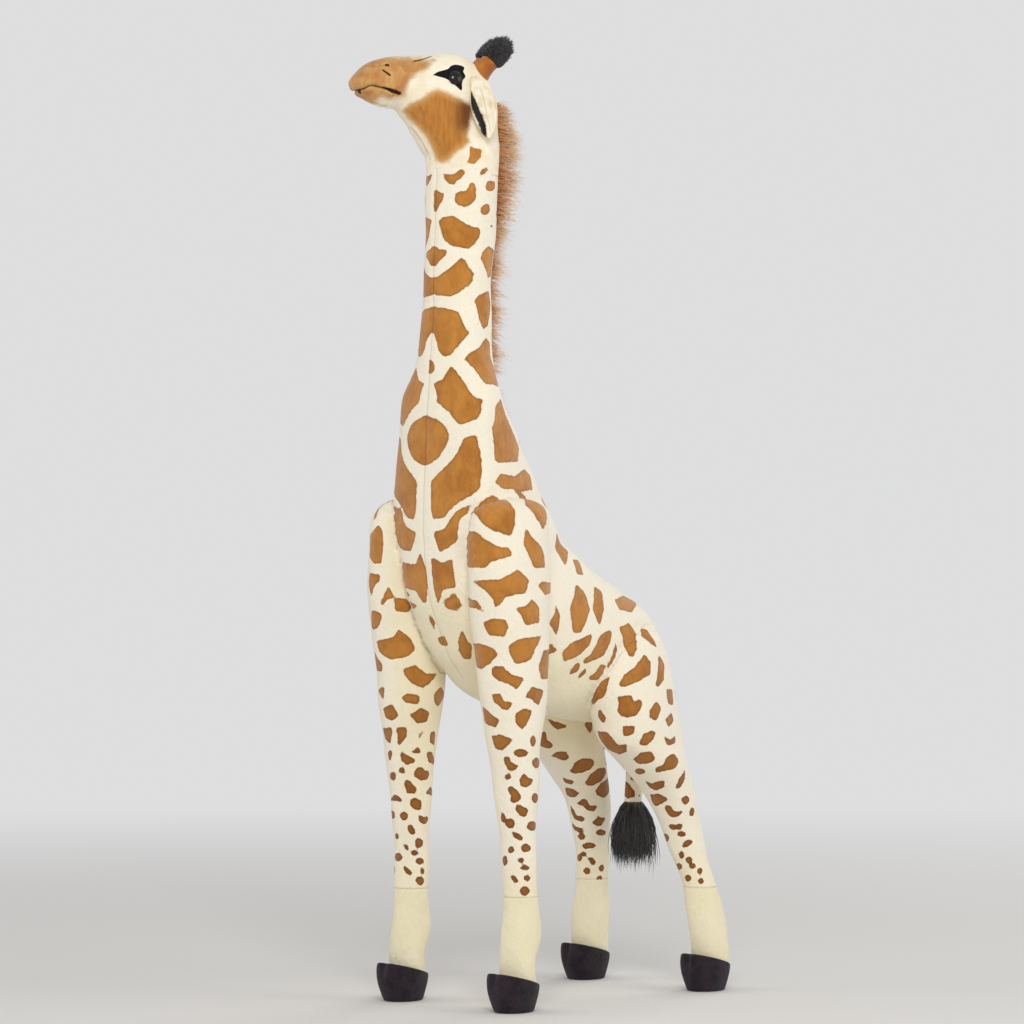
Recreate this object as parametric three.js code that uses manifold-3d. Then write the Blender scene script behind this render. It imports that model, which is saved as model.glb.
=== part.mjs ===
// A standing plush giraffe about 1.4 m tall, as separate sewn and stuffed pieces over a rod frame.
// Millimetres. X runs to the giraffe's left, Y to its rear, Z up, and the soles stand on Z = 0.
// It is modelled with its neck on the Z axis, then centred over its own footprint at the end.
import * as THREE from "three";
import { mergeVertices } from "three/addons/utils/BufferGeometryUtils.js";
import Module from "manifold-3d";

const wasm = await Module();
wasm.setup();

// Clearances and cutters
const clearance = 0.3;
const cutterOverrun = 12;

// Torso
const chestReach = 78;
const torsoLength = 450;
const torsoHalfWidth = 100;
const withersHeight = 735;
const bellyHeight = 398;

// Neck
const neckLength = 582;
const neckFrontReach = 80;
const neckBackReach = 200;
const neckHalfWidth = 98;

// Legs and feet
const frontFootSpread = 111;
const frontLegSway = 12;
const frontLegHalfWidth = 50;
const frontLegHalfDepth = 70;
const frontSockHeight = 165;
const hindFootSpread = 121;
const hindFootReach = 112;
const hindLegHalfWidth = 52;
const hindLegHalfDepth = 68;
const hindSockHeight = 155;
const hoofHeight = 45;
const hoofHalfWidth = 32.5;
const hoofHalfLength = 39.5;
const hoofSlope = THREE.MathUtils.degToRad(15);
const hoofNotchWidth = 8;
const hoofNotchDepth = 5;

// Head, in its own direction of facing
const headLength = 169;
const headHeight = 153;
const headHalfWidth = 51;
const headTurn = THREE.MathUtils.degToRad(-29);
const headBallRadius = 75;
const headBallRise = 51;
const mouthDepth = 2.5;
const mouthWidth = 3;
const nostrilLength = 12;
const nostrilHeight = 5;
const nostrilDepth = 4;

// Eyes
const eyeRadius = 10.5;
const eyeBulge = 5;
const eyeStemRadius = 2.5;
const eyeStemLength = 14;
const eyeWasherRadius = 9;
const eyeWasherThickness = 2;
const eyePatchLength = 50;
const eyePatchHeight = 27;
const eyePatchThickness = 1.2;
const eyePatchTilt = THREE.MathUtils.degToRad(35);

// Ossicones
const ossiconeLength = 27;
const ossiconeRadius = 13;
const ossiconeLean = THREE.MathUtils.degToRad(41);
const ossiconeSplay = THREE.MathUtils.degToRad(3);
const ossiconeTuftLength = 42;
const ossiconeTuftRadius = 15;

// Ears
const earLength = 86;
const earHalfWidth = 19;
const earThickness = 3.5;
const earLiningThickness = 2;
const earCup = 5;
const earStandOff = 9;
const earRootRadius = 6;
const earRootLength = 18;
const earSweep = THREE.MathUtils.degToRad(12);

// Mane
const maneHeight = 56;
const crownManeHeight = 37;
const crownManeLength = 68;
const crownManeFootRise = 12;
const maneHalfWidth = 11;
const manePitch = 25;
const maneFootHeight = 745;
const maneTopDrop = 8;

// Tail
const tailRootHeight = 540;
const tailRadius = 14;
const tailLength = 267;
const tailBaseLength = 45;
const tailTuftLength = 86;
const tailTuftRadius = 33;

// Inner frame
const spineRodRadius = 5;
const neckRodRadius = 5;
const legRodRadius = 4;
const headWireRadius = 2;
const footPlateRadius = 20;
const footPlateThickness = 3;
const soleThickness = 7;

// Counts
const ringSteps = 2;
const torsoSides = 20;
const neckSides = 16;
const headSides = 16;
const ballSides = 24;
const legSides = 12;
const hoofSides = 14;
const rodSides = 8;
const smallSides = 12;

// Surfaces
const furColour = new THREE.MeshStandardMaterial({ color: 0xc99350, roughness: 0.95 });
const creamFur = new THREE.MeshStandardMaterial({ color: 0xf1dfb0, roughness: 0.95 });
const faceFur = new THREE.MeshStandardMaterial({ color: 0xb9824a, roughness: 0.95 });
const maneFur = new THREE.MeshStandardMaterial({ color: 0xb4713a, roughness: 1 });
const blackFur = new THREE.MeshStandardMaterial({ color: 0x1d1718, roughness: 1 });
const hoofPile = new THREE.MeshStandardMaterial({ color: 0x2b2129, roughness: 0.9 });
const eyePlastic = new THREE.MeshStandardMaterial({ color: 0x140d0a, roughness: 0.1 });
const washerPlastic = new THREE.MeshStandardMaterial({ color: 0xd8d4cc, roughness: 0.5 });
const blackFelt = new THREE.MeshStandardMaterial({ color: 0x171112, roughness: 0.95 });
const frameSteel = new THREE.MeshStandardMaterial({ color: 0x8c9094, metalness: 0.9, roughness: 0.4 });
const footBoard = new THREE.MeshStandardMaterial({ color: 0x9b7a55, roughness: 0.8 });

// Solids and cuts

// The solid inside a closed surface.
function solid(geometry) {
  const bare = geometry.clone();
  bare.deleteAttribute("normal");
  bare.deleteAttribute("uv");
  const merged = mergeVertices(bare);
  return new wasm.Manifold(
    new wasm.Mesh({
      numProp: 3,
      vertProperties: new Float32Array(merged.attributes.position.array),
      triVerts: new Uint32Array(merged.index.array),
    }),
  );
}

// The surface of a solid.
function surface(body) {
  const { vertProperties, triVerts } = body.getMesh();
  const geometry = new THREE.BufferGeometry();
  geometry.setAttribute("position", new THREE.BufferAttribute(vertProperties, 3));
  geometry.setIndex(new THREE.BufferAttribute(triVerts, 1));
  return geometry;
}

// The same closed surface with every point moved out along its normal, or in when the distance is negative.
function grown(geometry, distance) {
  const bare = geometry.clone();
  bare.deleteAttribute("normal");
  bare.deleteAttribute("uv");
  const merged = mergeVertices(bare);
  merged.computeVertexNormals();
  const { position, normal } = merged.attributes;
  for (let i = 0; i < position.count; i += 1) {
    position.setXYZ(
      i,
      position.getX(i) + distance * normal.getX(i),
      position.getY(i) + distance * normal.getY(i),
      position.getZ(i) + distance * normal.getZ(i),
    );
  }
  return merged;
}

// What is left of a solid after its cutters, without any loose crumbs.
function cut(body, ...cutters) {
  const left = cutters.reduce((rest, cutter) => rest.subtract(cutter), body);
  return left.decompose().reduce((most, piece) => (piece.volume() > most.volume() ? piece : most));
}

// The part of a solid on the far side of a plane, away from a point on it and along its normal.
function beyond(body, point, normal) {
  const unit = normal.clone().normalize();
  return body.trimByPlane(unit.toArray(), unit.dot(point));
}

// Rows, rings and lofts

// A table with smooth steps worked out between its rows, column by column.
function smooth(rows, steps) {
  const at = (i) => rows[Math.min(Math.max(i, 0), rows.length - 1)];
  const between = (a, b, c, d, t) =>
    (2 * b + (c - a) * t + (2 * a - 5 * b + 4 * c - d) * t ** 2 + (3 * (b - c) + d - a) * t ** 3) / 2;
  const filled = [];
  for (let i = 0; i < rows.length - 1; i += 1) {
    for (let step = 0; step < steps; step += 1) {
      const t = step / steps;
      filled.push(at(i).map((_, k) => between(at(i - 1)[k], at(i)[k], at(i + 1)[k], at(i + 2)[k], t)));
    }
  }
  return [...filled, rows.at(-1)];
}

// The row of a table where its first column has a value, in either direction.
function rowAt(rows, value) {
  const high = rows.findIndex((row, i) => i > 0 && (row[0] - value) * (rows[i - 1][0] - value) <= 0);
  const [a, b] = [rows[high - 1], rows[high]];
  const t = (value - a[0]) / (b[0] - a[0]);
  return a.map((number, k) => number + t * (b[k] - number));
}

// A ring about a centre: half an ellipse to each side of its widest line.
function ring(centre, side, up, down, sides) {
  return Array.from({ length: sides }, (_, i) => {
    const angle = (2 * Math.PI * i) / sides;
    const rise = Math.sin(angle);
    return centre
      .clone()
      .addScaledVector(side, Math.cos(angle))
      .addScaledVector(rise > 0 ? up : down, Math.abs(rise));
  });
}

// A closed surface over a run of rings, with a fan over each end.
function loft(rings) {
  const sides = rings[0].length;
  const points = rings.flat();
  const lastRing = points.length - sides;
  const hub = (ringPoints) =>
    points.push(ringPoints.reduce((sum, p) => sum.add(p), new THREE.Vector3()).divideScalar(sides)) - 1;
  const [firstHub, lastHub] = [hub(rings[0]), hub(rings.at(-1))];
  const faces = [];
  for (let i = 0; i < sides; i += 1) {
    const next = (i + 1) % sides;
    for (let row = 0; row < lastRing; row += sides) {
      faces.push([row + i, row + next, row + sides + next], [row + i, row + sides + next, row + sides + i]);
    }
    faces.push([firstHub, next, i], [lastHub, lastRing + i, lastRing + next]);
  }
  const volume = faces.reduce((sum, [a, b, c]) => sum + points[a].dot(points[b].clone().cross(points[c])), 0);
  const facing = volume < 0 ? faces.map((face) => face.reverse()) : faces;
  const geometry = new THREE.BufferGeometry().setFromPoints(points);
  geometry.setIndex(facing.flat());
  return geometry;
}

// A regular outline with a corner at each of its sides.
function circle(radius, sides) {
  const corners = ring(
    new THREE.Vector3(),
    new THREE.Vector3(radius, 0, 0),
    new THREE.Vector3(0, radius, 0),
    new THREE.Vector3(0, -radius, 0),
    sides,
  );
  return new THREE.Shape(corners.map(({ x, y }) => new THREE.Vector2(x, y)));
}

// A round rod along a smooth curve through its points.
function rod(points, radius, steps) {
  const extrudePath = new THREE.CatmullRomCurve3(points);
  return new THREE.ExtrudeGeometry(circle(radius, rodSides), { steps, extrudePath, bevelEnabled: false });
}

// A turned shape about the Z axis, then laid along a direction from a point.
function turned(profile, origin, direction, sides) {
  const geometry = new THREE.LatheGeometry(
    profile.map(([radius, height]) => new THREE.Vector2(radius, height)),
    sides,
  );
  geometry.applyQuaternion(
    new THREE.Quaternion().setFromUnitVectors(new THREE.Vector3(0, 1, 0), direction.clone().normalize()),
  );
  return geometry.translate(origin.x, origin.y, origin.z);
}

// A plain round bar, its two ends square.
function bar(origin, direction, radius, length, sides) {
  const profile = [[0, 0], [radius, 0], [radius, length], [0, length]];
  return turned(profile, origin, direction, sides);
}

function vector(x, y, z) {
  return new THREE.Vector3(x, y, z);
}

// Torso: rings across the length of the body, swelling at the chest and rump
// Each row: along the torso, top, bottom and widest height above the belly, half width.
const torsoShares = [
  [0, 0.79, 0.735, 0.763, 0.05],
  [0.013, 0.896, 0.599, 0.748, 0.45],
  [0.062, 0.97, 0.436, 0.718, 0.72],
  [0.129, 1, 0.288, 0.659, 0.88],
  [0.24, 0.985, 0.145, 0.57, 0.96],
  [0.373, 0.941, 0.08, 0.51, 0.98],
  [0.507, 0.866, 0.05, 0.451, 0.98],
  [0.64, 0.754, 0.03, 0.392, 0.98],
  [0.751, 0.665, 0.006, 0.347, 1],
  [0.862, 0.593, 0, 0.303, 0.98],
  [0.94, 0.525, 0.036, 0.288, 0.84],
  [0.982, 0.451, 0.11, 0.288, 0.58],
  [1, 0.32, 0.27, 0.294, 0.05],
];

function torsoAlong(share) {
  return share * torsoLength - chestReach;
}

function torsoUp(share) {
  return bellyHeight + share * (withersHeight - bellyHeight);
}

function torsoSkin() {
  const rings = torsoShares.map(([along, top, bottom, widest, width]) => {
    const centre = vector(0, torsoAlong(along), torsoUp(widest));
    const side = vector(width * torsoHalfWidth, 0, 0);
    const up = vector(0, 0, torsoUp(top) - centre.z);
    const down = vector(0, 0, torsoUp(bottom) - centre.z);
    return ring(centre, side, up, down, torsoSides);
  });
  return loft(rings);
}

// Neck: level rings from deep inside the shoulders to the head
// Each row: height, reach ahead, reach behind, where it is widest (negative is ahead), half width.
const neckShares = [
  [0, 0.9, 1, -0.25, 0.98],
  [0.069, 1, 0.9, -0.375, 1],
  [0.155, 1, 0.725, -0.44, 0.97],
  [0.302, 0.95, 0.45, -0.44, 0.87],
  [0.402, 0.9, 0.23, -0.375, 0.82],
  [0.464, 0.85, 0.21, -0.34, 0.66],
  [0.526, 0.8, 0.21, -0.275, 0.54],
  [0.651, 0.76, 0.2, -0.14, 0.49],
  [0.773, 0.725, 0.235, -0.075, 0.49],
  [0.899, 0.69, 0.265, 0, 0.5],
  [1, 0.66, 0.27, 0, 0.51],
  [1.04, 0.66, 0.27, 0, 0.5],
];
const neckRootShare = 0.718;
const neckSplitShare = 0.93;
const neckRoot = torsoUp(neckRootShare);
const neckTop = neckRoot + neckLength;
const neckSplit = neckRoot + neckSplitShare * neckLength;

function neckSkin() {
  const rings = smooth(neckShares, ringSteps).map(([height, front, back, widest, width]) => {
    const centre = vector(0, widest * neckFrontReach, neckRoot + height * neckLength);
    const side = vector(width * neckHalfWidth, 0, 0);
    const up = vector(0, back * neckBackReach - centre.y, 0);
    const down = vector(0, -front * neckFrontReach - centre.y, 0);
    return ring(centre, side, up, down, neckSides);
  });
  return loft(rings);
}

// Head: rings that fan round from the neck to the nose
// Each row: top forward and up, bottom forward and up, half width.
const headShares = [
  [-0.32, 0, 0.297, 0, 0.97],
  [-0.308, 0.281, 0.349, 0.065, 0.98],
  [-0.291, 0.562, 0.419, 0.183, 1],
  [-0.174, 0.824, 0.477, 0.301, 0.98],
  [0, 0.967, 0.54, 0.38, 0.94],
  [0.174, 1, 0.585, 0.44, 0.88],
  [0.36, 0.976, 0.625, 0.46, 0.76],
  [0.535, 0.955, 0.69, 0.462, 0.66],
  [0.71, 0.93, 0.775, 0.488, 0.61],
  [0.855, 0.872, 0.87, 0.535, 0.56],
  [0.945, 0.79, 0.935, 0.59, 0.44],
  [1, 0.715, 0.993, 0.665, 0.13],
];
const muzzleSeamRow = 7;
const headSideSteps = 10;
const headSideTilt = THREE.MathUtils.degToRad(3);
const headPivot = vector(0, 0, neckTop + headBallRise);

function headPoint(forward, up) {
  return vector(0, -forward * headLength, neckTop + up * headHeight);
}

function headRing([topForward, topUp, bottomForward, bottomUp, width], sides) {
  const [top, bottom] = [headPoint(topForward, topUp), headPoint(bottomForward, bottomUp)];
  const centre = top.clone().add(bottom).divideScalar(2);
  const side = vector(width * headHalfWidth, 0, 0);
  return ring(centre, side, top.clone().sub(centre), bottom.clone().sub(centre), sides);
}

function headSkin() {
  return loft(smooth(headShares, ringSteps).map((row) => headRing(row, headSides)));
}

// The point and outward direction on the side of the head at a row of its table and an angle up its ring.
function headSide(row, angle) {
  const rows = smooth(headShares, headSideSteps);
  const step = Math.round(row * headSideSteps);
  const point = (i, a) => {
    const [topForward, topUp, bottomForward, bottomUp, width] = rows[i];
    const [top, bottom] = [headPoint(topForward, topUp), headPoint(bottomForward, bottomUp)];
    const centre = top.clone().add(bottom).divideScalar(2);
    return centre
      .add(vector(width * headHalfWidth * Math.cos(a), 0, 0))
      .addScaledVector(top.clone().sub(bottom), Math.sin(a) / 2);
  };
  const place = point(step, angle);
  const alongHead = point(step + 1, angle).sub(point(step - 1, angle));
  const upHead = point(step, angle + headSideTilt).sub(point(step, angle - headSideTilt));
  return { place, out: upHead.cross(alongHead).normalize() };
}

// Legs: level rings from inside the body to the hoof
// Each row: height, spread outwards, sway back, half width, half depth.
const frontLegShares = [
  [1, 0, -0.2, 0.05, 0.05],
  [0.992, 0.05, -0.2, 0.55, 0.55],
  [0.975, 0.06, -0.25, 0.86, 0.86],
  [0.952, 0.235, -0.5, 0.95, 0.95],
  [0.905, 0.29, -0.65, 0.99, 0.99],
  [0.85, 0.35, -0.65, 0.99, 0.99],
  [0.79, 0.41, -0.58, 0.97, 0.96],
  [0.735, 0.44, -0.42, 0.94, 0.89],
  [0.68, 0.47, -0.25, 0.92, 0.83],
  [0.596, 0.5, -0.08, 0.88, 0.74],
  [0.5, 0.59, -0.08, 0.7, 0.554],
  [0.405, 0.706, 0.17, 0.6, 0.457],
  [0.31, 0.82, 0.42, 0.5, 0.364],
  [0.218, 0.88, 0.5, 0.5, 0.36],
  [0.145, 0.95, 0.62, 0.528, 0.45],
  [0.095, 1, -0.1, 0.537, 0.345],
  [0.04, 1, 0, 0.528, 0.389],
];
const hindLegShares = [
  [1, 0, -0.02, 0.05, 0.05],
  [0.986, 0.02, -0.03, 0.4, 0.46],
  [0.964, 0.04, -0.05, 0.62, 0.74],
  [0.904, 0.08, -0.09, 0.88, 1.04],
  [0.804, 0.16, -0.1, 1, 1.16],
  [0.714, 0.24, -0.01, 0.98, 1.15],
  [0.66, 0.28, 0.07, 0.915, 1.09],
  [0.602, 0.35, 0.28, 0.85, 0.81],
  [0.495, 0.43, 0.62, 0.64, 0.52],
  [0.361, 0.6, 0.82, 0.5, 0.4],
  [0.286, 0.78, 0.91, 0.48, 0.38],
  [0.196, 0.92, 0.98, 0.52, 0.43],
  [0.125, 0.98, 1, 0.52, 0.43],
  [0.05, 1, 1, 0.52, 0.43],
];
const shoulderWidthShare = 0.94;
const hipHeightShare = 0.481;
const hipWidthShare = 0.62;
const hipAlongShare = 0.829;

const frontLeg = {
  name: "front",
  shares: frontLegShares,
  height: withersHeight,
  rootSpread: shoulderWidthShare * torsoHalfWidth,
  footSpread: frontFootSpread,
  rootPlace: 0,
  footReach: frontLegSway,
  halfWidth: frontLegHalfWidth,
  halfDepth: frontLegHalfDepth,
  sockHeight: frontSockHeight,
};
const hindLeg = {
  name: "hind",
  shares: hindLegShares,
  height: torsoUp(hipHeightShare),
  rootSpread: hipWidthShare * torsoHalfWidth,
  footSpread: hindFootSpread,
  rootPlace: torsoAlong(hipAlongShare),
  footReach: hindFootReach,
  halfWidth: hindLegHalfWidth,
  halfDepth: hindLegHalfDepth,
  sockHeight: hindSockHeight,
};

// The middle of a leg at one of its rows. Mirror is 1 on the giraffe's left and -1 on its right.
function legCentre(leg, mirror, [height, spread, back]) {
  return vector(
    mirror * (leg.rootSpread + spread * (leg.footSpread - leg.rootSpread)),
    leg.rootPlace + back * leg.footReach,
    height * leg.height,
  );
}

function legSkin(leg, mirror) {
  const rings = leg.shares.map((row) => {
    const [, , , width, depth] = row;
    const back = vector(0, depth * leg.halfDepth, 0);
    const side = vector(width * leg.halfWidth, 0, 0);
    return ring(legCentre(leg, mirror, row), side, back, back.clone().negate(), legSides);
  });
  return loft(rings);
}

function footOf(leg, mirror) {
  return legCentre(leg, mirror, leg.shares.at(-1)).setZ(0);
}

// Hoof: a flat sole, a rounded toe that leans ahead, and a top that slopes down to the heel
// Each row: height, place back from the leg, half width, half length.
const hoofShares = [
  [0, -0.2, 0.74, 0.74],
  [0.11, -0.25, 0.86, 0.85],
  [0.45, -0.33, 1, 1],
  [0.74, -0.28, 0.99, 0.98],
  [1, -0.18, 0.9, 0.87],
  [1.3, -0.08, 0.72, 0.68],
];
const hoofWidestRow = 2;

function hoofTopPlane(foot, offset) {
  const normal = vector(0, Math.sin(hoofSlope), Math.cos(hoofSlope));
  return { point: vector(foot.x, foot.y, hoofHeight).addScaledVector(normal, offset), normal };
}

function hoofSkin(foot) {
  const rings = hoofShares.map(([height, back, width, length]) => {
    const centre = vector(foot.x, foot.y + back * hoofHalfLength, height * hoofHeight);
    const ahead = vector(0, length * hoofHalfLength, 0);
    return ring(centre, vector(width * hoofHalfWidth, 0, 0), ahead, ahead.clone().negate(), hoofSides);
  });
  return loft(rings);
}

// A wedge down the front of the hoof, where its two toes meet.
function hoofNotch(foot) {
  const wedge = new THREE.Shape([
    new THREE.Vector2(0, hoofNotchDepth),
    new THREE.Vector2(-hoofNotchWidth, -hoofNotchDepth),
    new THREE.Vector2(hoofNotchWidth, -hoofNotchDepth),
  ]);
  const [, back, , length] = hoofShares[hoofWidestRow];
  const geometry = new THREE.ExtrudeGeometry(wedge, { depth: 2 * hoofHeight, bevelEnabled: false });
  return geometry.translate(foot.x, foot.y + (back - length) * hoofHalfLength, soleThickness);
}

// Frame: a welded body frame, a rod down each leg, a rod up the neck and a bent wire in the head
const shoulderBarHeightShare = 0.718;
const hipBarHeightShare = 0.318;
const headWireShares = [
  [0.25, 0.62],
  [0.6, 0.7],
  [0.85, 0.73],
];
const rodRowShares = { every: 2, clearOfBar: 1, clearOfFoot: 2 };

function barEnd(leg, mirror) {
  const level = torsoUp(leg === frontLeg ? shoulderBarHeightShare : hipBarHeightShare);
  return legCentre(leg, mirror, rowAt(leg.shares, level / leg.height));
}

// The spine rod with a bar across the shoulders and one across the hips.
function bodyFrame(extra) {
  const radius = spineRodRadius + extra;
  const middles = [frontLeg, hindLeg].map((leg) => barEnd(leg, 1).setX(0));
  const spineEnd = middles[1].clone().sub(middles[0]).setLength(2 * radius);
  const spine = rod([middles[0].clone().sub(spineEnd), middles[1].clone().add(spineEnd)], radius, 1);
  const bars = [frontLeg, hindLeg].map((leg) => {
    const reach = vector(legRodRadius + extra, 0, 0);
    return rod([barEnd(leg, -1).sub(reach), barEnd(leg, 1).add(reach)], radius, 1);
  });
  return [spine, ...bars].map(solid).reduce((sum, body) => sum.add(body));
}

function legRodPath(leg, mirror) {
  const top = barEnd(leg, mirror).add(vector(0, 0, -spineRodRadius - clearance));
  const { every, clearOfBar, clearOfFoot } = rodRowShares;
  const middles = leg.shares
    .filter((_, i) => i % every === 0)
    .map((row) => legCentre(leg, mirror, row))
    .filter(({ z }) => z < top.z - clearOfBar * leg.halfWidth && z > clearOfFoot * hoofHeight);
  const neck = top.clone().addScaledVector(vector(0, 0, -1), 2 * legRodRadius);
  const foot = footOf(leg, mirror);
  const plateTop = soleThickness + footPlateThickness + clearance;
  return [top, neck, ...middles, foot.clone().setZ(hoofHeight), foot.setZ(plateTop)];
}

// Mane: a fin of hair locks that point back and down, along the seam behind the neck
const valleyShare = 0.6;
const lockTipShare = 0.72;
const fadeShare = 0.5;
const twistStartShare = 0.75;

function neckBackAt(z) {
  return rowAt(smooth(neckShares, ringSteps), (z - neckRoot) / neckLength)[2] * neckBackReach;
}

function headBackAt(z) {
  const backs = headShares.map(([topForward, topUp]) => [topUp, -topForward * headLength]);
  return rowAt(backs, (z - neckTop) / headHeight)[1];
}

// How far the back of the neck has turned towards the head's direction at a height.
function twistAt(z) {
  const start = neckRoot + twistStartShare * neckLength;
  return headTurn * THREE.MathUtils.smoothstep(z, start, neckTop);
}

// A fin between two heights, on a back whose distance from the neck's axis and turn are given at each height.
function maneFin(bottom, top, height, backAt, turnAt) {
  const locks = Math.max(1, Math.round((top - bottom) / manePitch));
  const levels = [];
  for (let i = 0; i < locks; i += 1) {
    levels.push([i, i === 0 ? fadeShare : 1], [i + lockTipShare, valleyShare]);
  }
  levels.push([locks, valleyShare * fadeShare]);
  const rings = levels.map(([place, reach]) => {
    const z = bottom + (place / locks) * (top - bottom);
    const back = vector(0, 1, 0).applyAxisAngle(vector(0, 0, 1), turnAt(z));
    const side = vector(maneHalfWidth, 0, 0).applyAxisAngle(vector(0, 0, 1), turnAt(z));
    const centre = back.clone().multiplyScalar(backAt(z) - maneHalfWidth).setZ(z);
    const out = back.clone().multiplyScalar(maneHalfWidth + height * reach);
    return ring(centre, side, out, back.multiplyScalar(-fadeShare * maneHalfWidth), rodSides);
  });
  return solid(loft(rings));
}

// Model: each piece is cut by the larger ones it is sewn against
const root = new THREE.Group();
const origin = vector(0, 0, 0);
const upwards = vector(0, 0, 1);
const downwards = vector(0, 0, -1);

// A body that moves about its pivot. It returns how to add a piece to it, given where the piece stands
// before the head is turned, and the group that holds the pieces.
function movingBody(parent, parentPivot, pivot, turn = 0) {
  const group = new THREE.Group();
  group.position.copy(pivot).sub(parentPivot);
  group.rotation.z = turn;
  parent.add(group);
  const add = (name, body, material) => {
    const mesh = new THREE.Mesh(surface(body), material);
    mesh.name = name;
    mesh.position.copy(pivot).negate();
    group.add(mesh);
  };
  return { add, group, pivot };
}

const standing = movingBody(root, origin, origin);
const torsoSurface = torsoSkin();
const neckSurface = neckSkin();
const neckSolid = solid(neckSurface);
const torsoCutter = solid(grown(torsoSurface, clearance));
const neckCutter = solid(grown(neckSurface, clearance));
const frameBore = bodyFrame(clearance);

// The neck rod stands on the spine and ends below the bowl that the head rocks in. Its bore is wide enough
// for a faceted collar to turn on it.
const neckRodFoot = barEnd(frontLeg, 1).z + spineRodRadius + clearance;
const bowlBottom = neckTop + headBallRise - headBallRadius;
const neckRod = bar(
  vector(0, 0, neckRodFoot),
  upwards,
  neckRodRadius,
  bowlBottom - neckRodRadius - neckRodFoot,
  rodSides,
);
const neckRodBore = solid(
  bar(
    vector(0, 0, neckRodFoot - spineRodRadius),
    upwards,
    (neckRodRadius + clearance) / Math.cos(Math.PI / rodSides),
    bowlBottom + cutterOverrun - neckRodFoot,
    rodSides,
  ),
);

// Legs, socks and hooves, with the rod and the foot plate inside them
const legRodBores = [];
for (const leg of [frontLeg, hindLeg]) {
  for (const [side, mirror] of [
    ["left", 1],
    ["right", -1],
  ]) {
    const suffix = `${leg.name}_${side}`;
    const foot = footOf(leg, mirror);
    const rodPath = legRodPath(leg, mirror);
    const legRod = rod(rodPath, legRodRadius, rodPath.length + 2);
    const rodBore = solid(grown(legRod, clearance));
    legRodBores.push(rodBore);

    const shell = cut(solid(legSkin(leg, mirror)), torsoCutter, neckCutter, rodBore, frameBore);
    const sockTop = vector(0, 0, leg.sockHeight);
    standing.add(`leg_${suffix}`, cut(beyond(shell, sockTop, upwards)), furColour);

    const lower = beyond(shell, sockTop.addScaledVector(downwards, clearance), downwards);
    const seat = hoofTopPlane(foot, clearance);
    standing.add(`sock_${suffix}`, cut(beyond(lower, seat.point, seat.normal)), creamFur);

    const top = hoofTopPlane(foot, 0);
    const hoof = beyond(solid(hoofSkin(foot)), top.point, top.normal.negate());
    const plateSeat = foot.clone().setZ(soleThickness);
    const plate = bar(plateSeat, upwards, footPlateRadius, footPlateThickness, hoofSides);
    const pocket = solid(grown(plate, 2 * clearance));
    standing.add(`hoof_${suffix}`, cut(hoof, solid(hoofNotch(foot)), pocket, rodBore), hoofPile);
    standing.add(`foot_plate_${suffix}`, solid(plate), footBoard);
    standing.add(`leg_rod_${suffix}`, solid(legRod), frameSteel);
  }
}

// Tail: it hangs from a rolled root in a shallow seat in the rump, and sways at a ball below that
// Each row: down the tail, place behind the root.
const tailRouteShares = [
  [0, 0],
  [0.05, 0.8],
  [0.1, 1.3],
  [0.16, 1.5],
  [0.5, 1.1],
  [0.8, 0.6],
  [1, 0.3],
];
const tailTuftShares = [
  [0, 0.5],
  [0.12, 0.75],
  [0.35, 0.97],
  [0.6, 1],
  [0.8, 0.8],
  [0.95, 0.4],
  [1, 0.1],
];
const tailRootShare = 0.4;
const tailRoot = vector(0, torsoAlong(1) - tailRootShare * tailRadius, tailRootHeight);

function tailPoint([down, behind]) {
  return tailRoot.clone().add(vector(0, behind * tailRadius, -down * tailLength));
}

const tailRows = smooth(tailRouteShares, 1);
const swayPivot = tailPoint(rowAt(tailRows, tailBaseLength / tailLength));
const tailRings = tailRows.map((row) => {
  const back = vector(0, tailRadius, 0);
  return ring(tailPoint(row), vector(tailRadius, 0, 0), back, back.clone().negate(), smallSides);
});
const tailSkin = loft(tailRings);
const tailTube = solid(tailSkin);
const rootRoll = bar(
  tailRoot.clone().add(vector(-tailRadius, 0, 0)),
  vector(1, 0, 0),
  tailRadius,
  2 * tailRadius,
  smallSides,
);
const swayBall = new THREE.SphereGeometry(tailRadius, smallSides, smallSides / 2);
swayBall.translate(swayPivot.x, swayPivot.y, swayPivot.z);
const tailBase = movingBody(root, origin, tailRoot);
const baseTube = beyond(tailTube, swayPivot, upwards);
tailBase.add("tail_base", cut(solid(rootRoll).add(baseTube), solid(grown(swayBall, clearance))), furColour);
const tail = movingBody(tailBase.group, tailRoot, swayPivot);
const tailEnd = tailPoint(tailRouteShares.at(-1));
tail.add("tail", beyond(tailTube, swayPivot, downwards).add(solid(swayBall)), furColour);
const tuftRings = tailTuftShares.map(([down, width]) => {
  const centre = tailEnd.clone().add(vector(0, 0, -clearance - down * tailTuftLength));
  const back = vector(0, width * tailTuftRadius, 0);
  return ring(centre, vector(back.y, 0, 0), back, back.clone().negate(), smallSides);
});
tail.add("tail_tuft", solid(loft(tuftRings)), blackFur);
const tailSeat = solid(grown(rootRoll, 2 * clearance)).add(solid(grown(tailSkin, 2 * clearance)));

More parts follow.
